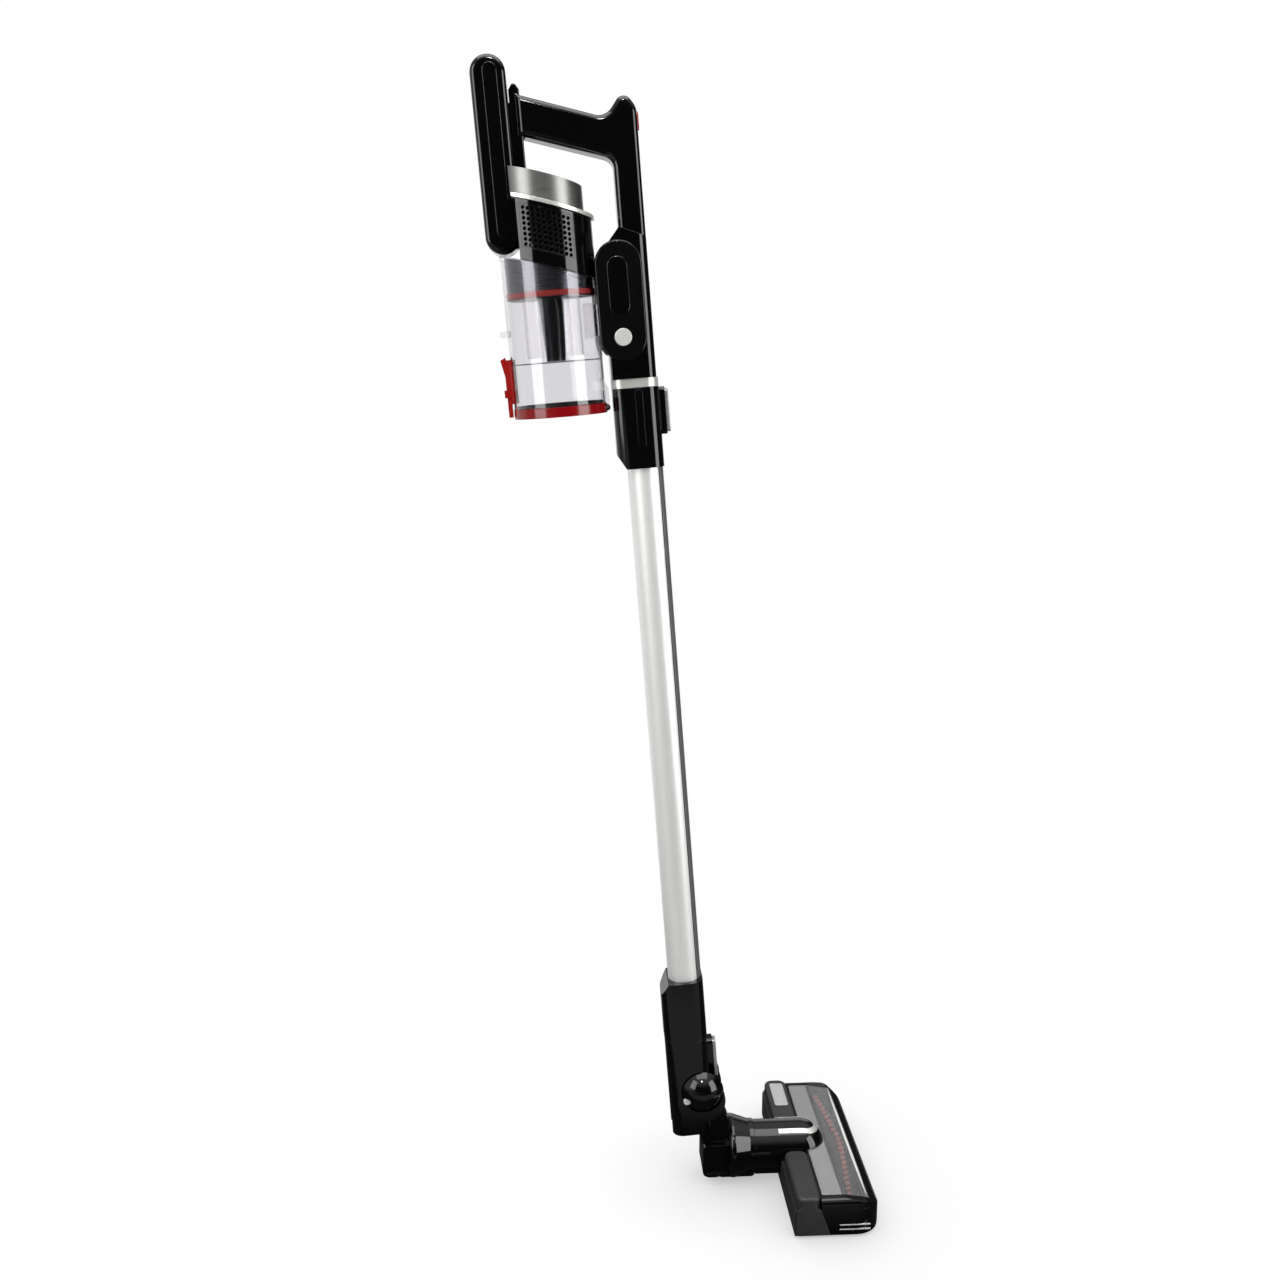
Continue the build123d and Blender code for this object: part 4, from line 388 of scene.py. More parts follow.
    # Glass-fibre board under green solder mask
    BOARD = GrainedMoulding("green_solder_mask", "#0f4a2a", 0.3, other="#0b3b21", patch_mm=4.0)
    # Shrink wrap around the cells
    CELL_WRAP = GlossMoulding("blue_shrink_wrap", "#1d4f9c", 0.25)
    # Pressed polyester felt of the filter
    FELT = GrainedMoulding("polyester_felt", "#d9d8d2", 0.9, other="#cac9c2", grain_depth_mm=0.2, edge_mm=0.0)


NODE_SURFACES: dict[Surface, tuple[str, ...]] = {
    Surface.GLOSS_BLACK: (
        "upper_collar", "lower_collar", "casing_right", "casing_left", "motor_housing", "exhaust_grilles",
        "battery_case", "neck_shell", "pivot_covers", "elbow", "barrel", "head_frame", "roller_end_cap",
    ),
    Surface.MATTE_CHARCOAL: ("rear_pad_right", "rear_pad_left", "head_base"),
    Surface.SATIN_BLACK: ("side_plate_right", "side_plate_left", "inlet_duct", "fan_wheel"),
    Surface.WAND_ALUMINIUM: ("wand_tube",),
    Surface.BRUSHED_SILVER: ("filter_cap",),
    Surface.SATIN_SILVER: ("cap_flange", "wand_band", "barrel_trim"),
    Surface.METAL_COAT: ("filter_cup",),
    Surface.PEARL_SILVER: ("release_button_right", "release_button_left", "neck_caps"),
    Surface.LATCH_GREY: ("upper_latch", "lower_latch"),
    Surface.RED_ABS: ("power_button", "bin_latch"),
    Surface.DEEP_RED_ABS: ("lid_ring",),
    Surface.RED_SILICONE: ("bin_seal",),
    Surface.CLEAR_BIN: ("dust_bin", "inlet_scoop", "cyclone_shroud", "lid_plate"),
    Surface.CLEAR_WINDOW: ("clear_window",),
    Surface.GREY_PANEL: ("baffle_panel",),
    Surface.GREY_CORE: ("cyclone_core", "brush_core"),
    Surface.BLACK_RUBBER: (
        "lid_seal", "rear_wheels", "front_wheels", "glide_strip", "drive_belt", "wand_lead",
    ),
    Surface.RED_NYLON: ("brush_bristles",),
    Surface.STEEL: ("casing_screws", "bin_pins", "pivot_pins", "roller_bearing", "motor_pinion"),
    Surface.MOTOR_CAN: ("fan_motor", "brush_motor"),
    Surface.BOARD: ("control_board",),
    Surface.CELL_WRAP: ("battery_cells",),
    Surface.FELT: ("exhaust_filter",),
}


class Workshop:
    """Keeps the materials and turns point grids into pieces that ride on a body."""

    def __init__(self) -> None:
        """Build every finish once."""
        self.materials = {surface: surface.value.build() for surface in Surface}

    def dress_nodes(self, nodes: dict[str, bpy.types.Object]) -> None:
        """Give every node of the frame its material.

        Args:
            nodes: The frame's objects by name.
        """
        for surface, names in NODE_SURFACES.items():
            for name in names:
                nodes[name].data.materials.clear()
                nodes[name].data.materials.append(self.materials[surface])

    def piece(
        self, name: str, points: np.ndarray, faces: Faces, surface: Surface, body: str, slot: str
    ) -> bpy.types.Object:
        """Make one piece from points and faces.

        Args:
            name: Name of the piece.
            points: Points in metres, one per row.
            faces: Corner numbers of each face.
            surface: Finish of the piece.
            body: Body that it rides on.
            slot: The record's material slot for it; not used.

        Returns:
            The new object.
        """
        mesh = bpy.data.meshes.new(name)
        mesh.from_pydata(points.tolist(), [], faces)
        mesh.validate()
        mesh.materials.append(self.materials[surface])
        made = bpy.data.objects.new(name, mesh)
        bpy.context.scene.collection.objects.link(made)
        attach(made, body)
        LOG.info("%s: %d faces on %s", name, len(faces), body)
        return made


def ring_faces(
    rows: int, columns: int, ends: tuple[bool, bool] = (False, False), turned: bool = False
) -> Faces:
    """Faces of a stack of rings.

    Args:
        rows: Number of rings.
        columns: Points on each ring.
        ends: Whether the first and the last ring are closed by a flat face.
        turned: Whether the faces look the other way.

    Returns:
        Corner numbers of each face.
    """
    row, column = np.meshgrid(np.arange(rows - 1), np.arange(columns), indexing="ij")
    after = (column + 1) % columns
    here, there = row * columns, (row + 1) * columns
    corners = [here + column, here + after, there + after, there + column]
    faces = np.stack(corners, axis=-1).reshape(-1, 4).tolist()
    if ends[0]:
        faces.append(list(range(columns))[::-1])
    if ends[1]:
        faces.append(list(range((rows - 1) * columns, rows * columns)))
    return [face[::-1] for face in faces] if turned else faces


def pill(half_width: float, half_length: float, radius: float, steps: int = 12) -> np.ndarray:
    """Outline of a rounded rectangle: four quarter arcs joined by straight runs.

    Args:
        half_width: Half of its first side.
        half_length: Half of its second side.
        radius: Corner radius.
        steps: Points on each quarter arc.

    Returns:
        Points of the outline, counter-clockwise, one per row.
    """
    angle = np.radians(np.linspace(0, 90, steps))
    quarters = np.arange(4)[:, None] * (math.pi / 2) + angle[None, :]
    centres = np.array([(1, 1), (-1, 1), (-1, -1), (1, -1)], float)
    centres *= np.array([half_width - radius, half_length - radius])
    arcs = np.stack([np.cos(quarters), np.sin(quarters)], axis=-1) * radius
    return (arcs + centres[:, None, :]).reshape(-1, 2)


def crowned_plate(outline: np.ndarray, heights: np.ndarray, insets: np.ndarray) -> np.ndarray:
    """Rings of a plate that rises from its outline and rounds over towards the middle.

    Each ring is the outline shrunk towards its centre by an inset, at a height.

    Args:
        outline: Points of the outline in its own plane.
        heights: Height of each ring.
        insets: Inset of each ring.

    Returns:
        Points with two places in the plane and a height, ring by ring.
    """
    reach = np.abs(outline).max(axis=0)
    shrink = 1 - insets[:, None, None] / reach[None, None, :]
    flat = outline[None, :, :] * shrink
    tall = np.broadcast_to(heights[:, None, None], (*flat.shape[:2], 1))
    return np.concatenate([flat, tall], axis=-1).reshape(-1, 3)


@dataclass
class Stick:
    """The stick frame: u forward of the wand's axis, y to the left, s up the wand, in millimetres."""

    forward: np.ndarray
    up: np.ndarray
    middle: np.ndarray
    middle_s: float = 387.5

    @classmethod
    def of(cls, frame: dict) -> Stick:
        """Read the stick's directions from the joints, and a point of its axis from the wand.


        Returns:
            The stick frame.
        """
        axes = {joint["name"]: np.array(joint["axis"]) for joint in frame["joints"]}
        low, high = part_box("wand_tube")
        middle = (np.array(low) + np.array(high)) / 2
        return cls(-axes["power_press"], -axes["wand_slide"], middle)

    def at(self, u: np.ndarray, y: np.ndarray, s: np.ndarray) -> np.ndarray:
        """Points of the stick frame in the row's frame, in metres."""
        ahead = np.asarray(u, float)[..., None] * self.forward
        aside = np.asarray(y, float)[..., None] * np.array([0.0, 1.0, 0.0])
        above = (np.asarray(s, float) - self.middle_s)[..., None] * self.up
        return self.middle + (ahead + aside + above) * MM


@dataclass
class BristleRows:
    """Brush roller's tufts: two helical rows of nylon strands on a sleeve."""

    rows: int = 2
    tufts: int = 22
    strands: int = 60
    root_mm: float = 8.3
    tip_mm: float = 17.4
    uneven_mm: float = 0.7
    strand_mm: float = 0.36
    tuft_mm: float = 1.3
    fan_mm: float = 0.5
    taper: float = 0.45
    lit_from: float = 0.62
    start_deg: float = 80.0
    twist_deg: float = 35.0
    twist_over_mm: float = 100.0
    sleeve_mm: float = 8.6
    core_mm: float = 8.02
    half_mm: float = 99.0
    reach_mm: float = 97.0
    seed: int = 7

    def axis(self, frame: dict) -> np.ndarray:
        """Point of the roller's axis, from its joint."""
        joint = next(j for j in frame["joints"] if j["name"] == "brush_spin")
        return np.array([joint["pos_m"][0], 0.0, joint["pos_m"][2]])

    def strands_mesh(self, axis: np.ndarray, span: tuple[float, float]) -> Shape:
        """One stretch of the tapered square strands: a lower square and a smaller upper square for each.

        The strands of a tuft stand in a small disc and fan out towards their tips.

        Args:
            axis: Point of the roller's axis.
            span: Start and end of the stretch, as shares of the strand's length.

        Returns:
            Points and faces.
        """
        random = np.random.default_rng(self.seed)
        count = self.rows * self.tufts * self.strands
        row, tuft, _ = np.unravel_index(np.arange(count), (self.rows, self.tufts, self.strands))
        middle = ((tuft + 0.5) / self.tufts * 2 - 1) * self.reach_mm
        radius = np.sqrt(random.uniform(0, 1, count)) * self.tuft_mm
        turn = random.uniform(0, 2 * np.pi, count)
        offset = np.stack([np.cos(turn), np.sin(turn)]) * radius
        y = middle + offset[0]
        turned = self.start_deg + 360 / self.rows * row + self.twist_deg * np.abs(middle) / self.twist_over_mm
        angle = np.radians(turned) + offset[1] / self.root_mm
        ray = np.stack([np.cos(angle), np.zeros(count), np.sin(angle)], axis=-1)
        side = np.stack([-np.sin(angle), np.zeros(count), np.cos(angle)], axis=-1)
        along = np.broadcast_to(np.array([0.0, 1.0, 0.0]), (count, 3))
        tip = self.tip_mm - random.uniform(0, self.uneven_mm, count)
        root_at = ray * self.root_mm + along * y[:, None]
        fan = offset / self.tuft_mm * self.fan_mm
        tip_at = ray * tip[:, None] + along * (y + fan[0])[:, None] + side * fan[1][:, None]
        square = np.array([(-1, -1), (1, -1), (1, 1), (-1, 1)]) * self.strand_mm / 2
        spread = square[None, :, 0, None] * along[:, None, :] + square[None, :, 1, None] * side[:, None, :]
        ends = []
        for share in span:
            centre = root_at + (tip_at - root_at) * share
            ends.append(centre[:, None, :] + (1 - self.taper * share) * spread)
        points = np.concatenate(ends, axis=1)
        sides = [(0, 4, 5, 1), (1, 5, 6, 2), (2, 6, 7, 3), (3, 7, 4, 0), (4, 7, 6, 5), (0, 1, 2, 3)]
        faces = (np.arange(count)[:, None, None] * 8 + np.array(sides)[None, :, :]).reshape(-1, 4)
        return axis + points.reshape(-1, 3) * MM, faces.tolist()

    def sleeve_mesh(self, axis: np.ndarray, steps: int = 64) -> Shape:
        """Sleeve of revolution: a closed profile of radius and place carried round the axis."""
        inner, outer = self.core_mm, self.sleeve_mm
        profile = [(inner, -1), (outer, -1), (outer, 1), (inner, 1), (inner, -1)]
        radius, end = np.array(profile, float).T
        angle = np.linspace(0, 2 * np.pi, steps, endpoint=False)
        x = radius[:, None] * np.cos(angle)
        y = np.broadcast_to((end * self.half_mm)[:, None], x.shape)
        z = radius[:, None] * np.sin(angle)
        points = np.stack([x, y, z], axis=-1).reshape(-1, 3)
        return axis + points * MM, ring_faces(len(profile), steps, turned=True)

    def build(self, shop: Workshop, frame: dict) -> None:
        """Make the tufts with their paler ends, painted light on the tips, and their sleeve, in place of the
        plain bristle node.
        """
        axis = self.axis(frame)
        lower = self.strands_mesh(axis, (0.0, self.lit_from))
        tufts = shop.piece("bristle_tufts", *lower, Surface.RED_NYLON, "brush", "red_bristle")
        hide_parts("brush_bristles")
        # painted highlight: the upper part of each strand is a paler red
        upper = self.strands_mesh(axis, (self.lit_from, 1.0))
        shop.piece("bristle_tips", *upper, Surface.LIT_NYLON, "brush", "red_bristle")
        shop.piece("bristle_sleeve", *self.sleeve_mesh(axis), Surface.GREY_CORE, "brush", "grey_core")


@dataclass
class WandStrip:
    """Strip over the wiring on the front of the wand, painted darker as painted shade, with a dark joint
    along both edges.
    """

    radius_mm: float = 17.55
    inside_mm: float = 16.4
    half_angle_deg: float = 44.0
    edge_deg: float = 2.2
    joint_drop_mm: float = 0.45
    low_mm: float = 131.2
    high_mm: float = 661.8
    steps: int = 24

    def shell(self, stick: Stick, radius: float, first: float, last: float) -> Shape:
        """Curved strip: an arc of the tube's section carried up the stick, closed behind.

        Args:
            stick: The stick frame.
            radius: Radius of its face.
            first: Angle of its right edge in degrees, from the front.
            last: Angle of its left edge.

        Returns:
            Points and faces.
        """
        sweep = np.radians(np.linspace(first, last, self.steps))
        turn = np.concatenate([sweep, sweep[::-1]])
        reach = np.concatenate([np.full(self.steps, radius), np.full(self.steps, self.inside_mm)])
        places = np.array([self.low_mm, self.high_mm])
        u = np.broadcast_to(reach * np.cos(turn), (2, 2 * self.steps))
        y = np.broadcast_to(reach * np.sin(turn), u.shape)
        points = stick.at(u, y, np.broadcast_to(places[:, None], u.shape)).reshape(-1, 3)
        return points, ring_faces(2, 2 * self.steps, (True, True))

    def build(self, shop: Workshop, stick: Stick) -> None:
        """Make the strip and the two dark joints beside it."""
        edge = self.half_angle_deg - self.edge_deg
        # painted shade: the strip is the wand's aluminium made darker
        shop.piece(
            "wand_strip", *self.shell(stick, self.radius_mm, -edge, edge), Surface.SHADED_STRIP_ALUMINIUM, "wand",
            "wand_aluminium",
        )
        for name, first in (("wand_joint_right", -self.half_angle_deg), ("wand_joint_left", edge)):
            shell = self.shell(stick, self.radius_mm - self.joint_drop_mm, first, first + self.edge_deg)
            shop.piece(name, *shell, Surface.SATIN_BLACK, "wand", "gloss_black")


@dataclass
class RaisedPanel:
    """Raised pill-shaped panel with a rounded edge, on both faces of a piece of the stick."""

    name: str
    nodes: tuple[str, str]
    body: str
    half_width_mm: float
    half_length_mm: float
    centre_u_mm: float
    centre_s_mm: float
    rise_mm: float = 0.9
    round_mm: float = 0.8
    sunk_mm: float = 0.4
    slack_mm: float = 0.01
    steps: int = 6

    def build(self, shop: Workshop, stick: Stick) -> None:
        """Make one panel on each side.

        The panel is its pill outline, shrunk along a quarter circle as it rises, and closed by a last face.
        """
        faces_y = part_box(self.nodes[0])[0].y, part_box(self.nodes[1])[1].y
        angle = np.linspace(0, np.pi / 2, self.steps)
        heights = np.concatenate([[-self.sunk_mm], self.rise_mm - self.round_mm * (1 - np.sin(angle))])
        insets = np.concatenate([[0.0], self.round_mm * (1 - np.cos(angle))])
        outline = pill(self.half_width_mm, self.half_length_mm, self.half_width_mm - self.slack_mm)
        rings = crowned_plate(outline, heights, insets)
        for side, sign, face in (("right", -1, faces_y[0]), ("left", 1, faces_y[1])):
            y = face / MM + sign * rings[:, 2]
            points = stick.at(self.centre_u_mm + rings[:, 0], y, self.centre_s_mm + rings[:, 1])
            faces = ring_faces(len(heights), len(outline), (False, True), sign > 0)
            shop.piece(f"{self.name}_{side}", points, faces, Surface.GLOSS_BLACK, self.body, "gloss_black")


def raised_panels() -> list[RaisedPanel]:
    """The long panels on the battery and the shorter ones on the side plates."""
    return [
        RaisedPanel(
            "battery_inlay", ("battery_case", "battery_case"), "battery",
            half_width_mm=6.6, half_length_mm=76.0, centre_u_mm=-112.6, centre_s_mm=957.0,
        ),
        RaisedPanel(
            "plate_panel", ("side_plate_right", "side_plate_left"), "hand_unit",
            half_width_mm=9.5, half_length_mm=27.0, centre_u_mm=-12.8, centre_s_mm=831.0,
        ),
    ]


@dataclass
class BinTrim:
    """Red holder beside the lid latch and the fine step inside the bin's wall."""

    axis_u_mm: float = -75.8
    wall_mm: float = 43.8
    sunk_mm: float = 0.6
    holder_mm: float = 45.3
    flange_u_mm: float = -123.2
    gap_mm: float = 6.15
    flange_mm: float = 1.5
    last_deg: float = 17.5
    holder_span_mm: tuple[float, float] = (731.5, 772.5)
    lug_u_mm: float = -127.2
    lug_foot_u_mm: float = -118.6
    lug_lap_mm: float = 0.2
    lug_half_mm: float = 3.5
    lug_out_mm: float = 8.9
    lug_s_mm: float = 741.0
    step_mm: tuple[float, float] = (41.1, 41.75)
    step_span_mm: tuple[float, float] = (766.6, 767.6)
    steps: int = 10
    ring_steps: int = 128

    def prism(
        self, stick: Stick, section: np.ndarray, span: tuple[float, float], turned: bool
    ) -> Shape:
        """Section in the plane across the stick, carried up the stick.

        Args:
            stick: The stick frame.
            section: Corners, forward and to the left, one per row.
            span: Its lower and upper end.
            turned: Whether the faces look the other way.

        Returns:
            Points and faces.
        """
        rows = np.broadcast_to(section, (2, *section.shape))
        s = np.broadcast_to(np.array(span)[:, None], rows.shape[:2])
        points = stick.at(rows[..., 0], rows[..., 1], s).reshape(-1, 3)
        return points, ring_faces(2, len(section), (True, True), turned)

    def holder_section(self, sign: int) -> np.ndarray:
        """Section of the holder on one side: a flange along the latch and an arc along the bin's wall."""
        side = self.gap_mm + self.flange_mm
        first = math.degrees(math.asin(side / self.holder_mm))
        turn = np.radians(np.linspace(first, self.last_deg, self.steps))
        around = np.stack([-np.cos(turn), np.sin(turn)], axis=-1)
        axis = np.array([self.axis_u_mm, 0.0])
        inside = self.wall_mm - self.sunk_mm
        outer = axis + self.holder_mm * around
        inner = (axis + inside * around)[::-1]
        foot, lip = self.axis_u_mm - inside, self.flange_u_mm
        flange = np.array([(foot, self.gap_mm), (lip, self.gap_mm), (lip, side)])
        return np.concatenate([flange, outer, inner]) * np.array([1, sign])

    def build(self, shop: Workshop, stick: Stick) -> None:
        """Make the holder with its lugs on both sides, and the step as a thin ring."""
        lug_span = (self.lug_s_mm - self.lug_half_mm, self.lug_s_mm + self.lug_half_mm)
        inner, outer = self.gap_mm - self.lug_lap_mm, self.lug_out_mm
        tip, foot = self.lug_u_mm, self.lug_foot_u_mm
        corners = [(tip, inner), (tip, outer), (foot, outer), (foot, inner)]
        for side, sign in (("right", -1), ("left", 1)):
            holder = self.prism(stick, self.holder_section(sign), self.holder_span_mm, sign > 0)
            shop.piece(f"latch_holder_{side}", *holder, Surface.RED_ABS, "bin", "red_abs")
            lug = self.prism(stick, np.array(corners) * np.array([1, sign]), lug_span, sign > 0)
            shop.piece(f"latch_lug_{side}", *lug, Surface.RED_ABS, "bin", "red_abs")
        turn = np.linspace(0, 2 * np.pi, self.ring_steps, endpoint=False)[None, :]
        reach = np.array([*self.step_mm, *self.step_mm[::-1], self.step_mm[0]])[:, None]
        low, high = self.step_span_mm
        s = np.array([low, low, high, high, low])[:, None]
        u = self.axis_u_mm + reach * np.cos(turn)
        points = stick.at(u, reach * np.sin(turn), np.broadcast_to(s, u.shape)).reshape(-1, 3)
        faces = ring_faces(len(reach), self.ring_steps)
        shop.piece("bin_step", points, faces, Surface.SMOKE_STEP, "bin", "clear_bin")


@dataclass
class GrilleShadeSheet:
    """Near-black sheet behind each exhaust grille, painted shade in its holes: an arc about the bin's axis,
    slanted as the grille is.
    """

    axis_u_mm: float = -75.8
    radius_mm: float = 41.3
    thick_mm: float = 0.6
    first_deg: float = -29.0
    last_deg: float = 35.0
    low_mm: float = 864.8
    high_mm: float = 903.4
    tilt_deg: float = 17.0
    steps: int = 28

    def build(self, shop: Workshop, stick: Stick) -> None:
        """Make one sheet on each side, as a small rectangle carried along the arc."""
        turn = np.radians(np.linspace(self.first_deg, self.last_deg, self.steps))
        inside = self.radius_mm - self.thick_mm
        reach = np.array([self.radius_mm, self.radius_mm, inside, inside])
        place = np.array([self.low_mm, self.high_mm, self.high_mm, self.low_mm])
        ahead = np.sin(turn)[:, None] * reach
        s = place - ahead * math.tan(math.radians(self.tilt_deg))
        for name, sign in (("grille_shade_right", -1), ("grille_shade_left", 1)):
            aside = sign * np.cos(turn)[:, None] * reach
            points = stick.at(self.axis_u_mm + ahead, aside, s).reshape(-1, 3)
            faces = ring_faces(self.steps, len(reach), (True, True), sign > 0)
            # painted shade: a near-black sheet where the housing is only dark inside
            shop.piece(name, points, faces, Surface.GRILLE_SHADE_SHEET, "hand_unit", "inner_black")


@dataclass
class EndCapInlays:
    """Two bright strips laid in the grooves of the roller's end cap."""

    middle_x_mm: float = 168.0
    half_length_mm: float = 15.7
    half_width_mm: float = 0.75
    places_mm: tuple[float, float] = (8.9, 13.9)
    sunk_mm: float = 0.25
    depth_mm: float = 0.9
    edge_mm: float = 0.15
    bevel_mm: float = 0.12
    slack_mm: float = 0.02

    def build(self, shop: Workshop) -> None:
        """Make each strip from its rounded outline and a slightly shrunken face."""
        low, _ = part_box("roller_end_cap")
        outline = pill(self.half_length_mm, self.half_width_mm, self.half_width_mm - self.slack_mm, 6)
        heights = np.array([-self.depth_mm, -self.edge_mm, 0.0])
        rings = crowned_plate(outline, heights, np.array([0.0, 0.0, self.bevel_mm]))
        faces = ring_faces(len(heights), len(outline), (True, True))
        for name, z in zip(("end_strip_low", "end_strip_high"), self.places_mm):
            y = low.y / MM + self.sunk_mm - rings[:, 2]
            points = np.stack([self.middle_x_mm + rings[:, 0], y, z + rings[:, 1]], axis=-1) * MM
            shop.piece(name, points, faces, Surface.PEARL_SILVER, "end_cap", "bright_silver")


@dataclass
class PaneHighlightBead:
    """Pale bead along the front edge of the head's window, a painted highlight, thinner towards both ends."""

    half_length_mm: float = 103.8
    half_width_mm: float = 1.4
    rise_mm: float = 0.45
    sunk_mm: float = 0.3
    pane_mm: float = 2.0
    back_mm: float = 1.9
    slope_deg: float = 9.0
    end_share: float = 0.02
    rings: int = 41
    steps: int = 11

    def build(self, shop: Workshop) -> None:
        """Carry a flat arch along the pane's edge, whose width falls off as a fourth power to the ends."""
        low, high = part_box("clear_window")
        tilt = math.radians(self.slope_deg)
        place = np.linspace(-1, 1, self.rings)
        width = self.half_width_mm * (1 + self.end_share - place**4)
        angle = np.linspace(0, np.pi, self.steps)
        across = np.concatenate([np.cos(angle), [-1.0, 1.0]])
        above = np.concatenate([self.rise_mm * np.sin(angle), [-self.sunk_mm, -self.sunk_mm]])
        along = across[None, :] * width[:, None] - self.back_mm
        x = high.x / MM + along * math.cos(tilt) + above * math.sin(tilt)
        z = low.z / MM + self.pane_mm - along * math.sin(tilt) + above * math.cos(tilt)
        y = np.broadcast_to((place * self.half_length_mm)[:, None], x.shape)
        points = np.stack([x, y, z], axis=-1).reshape(-1, 3) * MM
        faces = ring_faces(self.rings, len(across), (True, True), True)
        # painted highlight: the pale bead stands for the light along the pane's edge
        shop.piece("window_highlight_bead", points, faces, Surface.PANE_HIGHLIGHT, "floor_head", "clear_bin")


@dataclass
class PadPlate:
    """Plain bright plate with a raised frame on the left rear pad."""

    middle_mm: tuple[float, float] = (121.3, 82.0)
    half_mm: tuple[float, float] = (7.4, 23.0)
    corner_mm: float = 2.6
    frame_mm: float = 1.5
    rise_mm: float = 0.5
    plate_rise_mm: float = 0.2
    sunk_mm: float = 0.3
    edge_mm: float = 0.15
    bevel_mm: float = 0.2
    lap_mm: float = 0.1

    def build(self, shop: Workshop) -> None:
        """Make the frame as rings that rise, cross and fall again, and a flat plate inside it."""
        _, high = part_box("rear_pad_left")
        outline = pill(*self.half_mm, self.corner_mm, 8)
        rise, wide = self.rise_mm, self.frame_mm
        edge = rise - self.edge_mm
        heights = np.array([-self.sunk_mm, edge, rise, rise, edge, 0.0])
        insets = np.array([0.0, 0.0, self.bevel_mm, wide - self.bevel_mm, wide, wide])
        frame = crowned_plate(outline, heights, insets)
        plate_heights = np.array([-self.sunk_mm, self.plate_rise_mm])
        plate = crowned_plate(outline, plate_heights, np.full(2, wide - self.lap_mm))
        pieces = (
            ("pad_frame", frame, (False, False), Surface.PEARL_SILVER),
            ("pad_plate", plate, (False, True), Surface.GREY_PANEL),
        )
        for name, rings, ends, surface in pieces:
            middle = np.array([*self.middle_mm, high.z / MM])
            faces = ring_faces(len(rings) // len(outline), len(outline), ends)
            shop.piece(name, (middle + rings) * MM, faces, surface, "floor_head", "bright_silver")


@dataclass(frozen=True)
class Step:
    """Smooth step of a light level: where it starts and ends, and the level at both."""

    start: float
    start_level: float
    end: float
    end_level: float


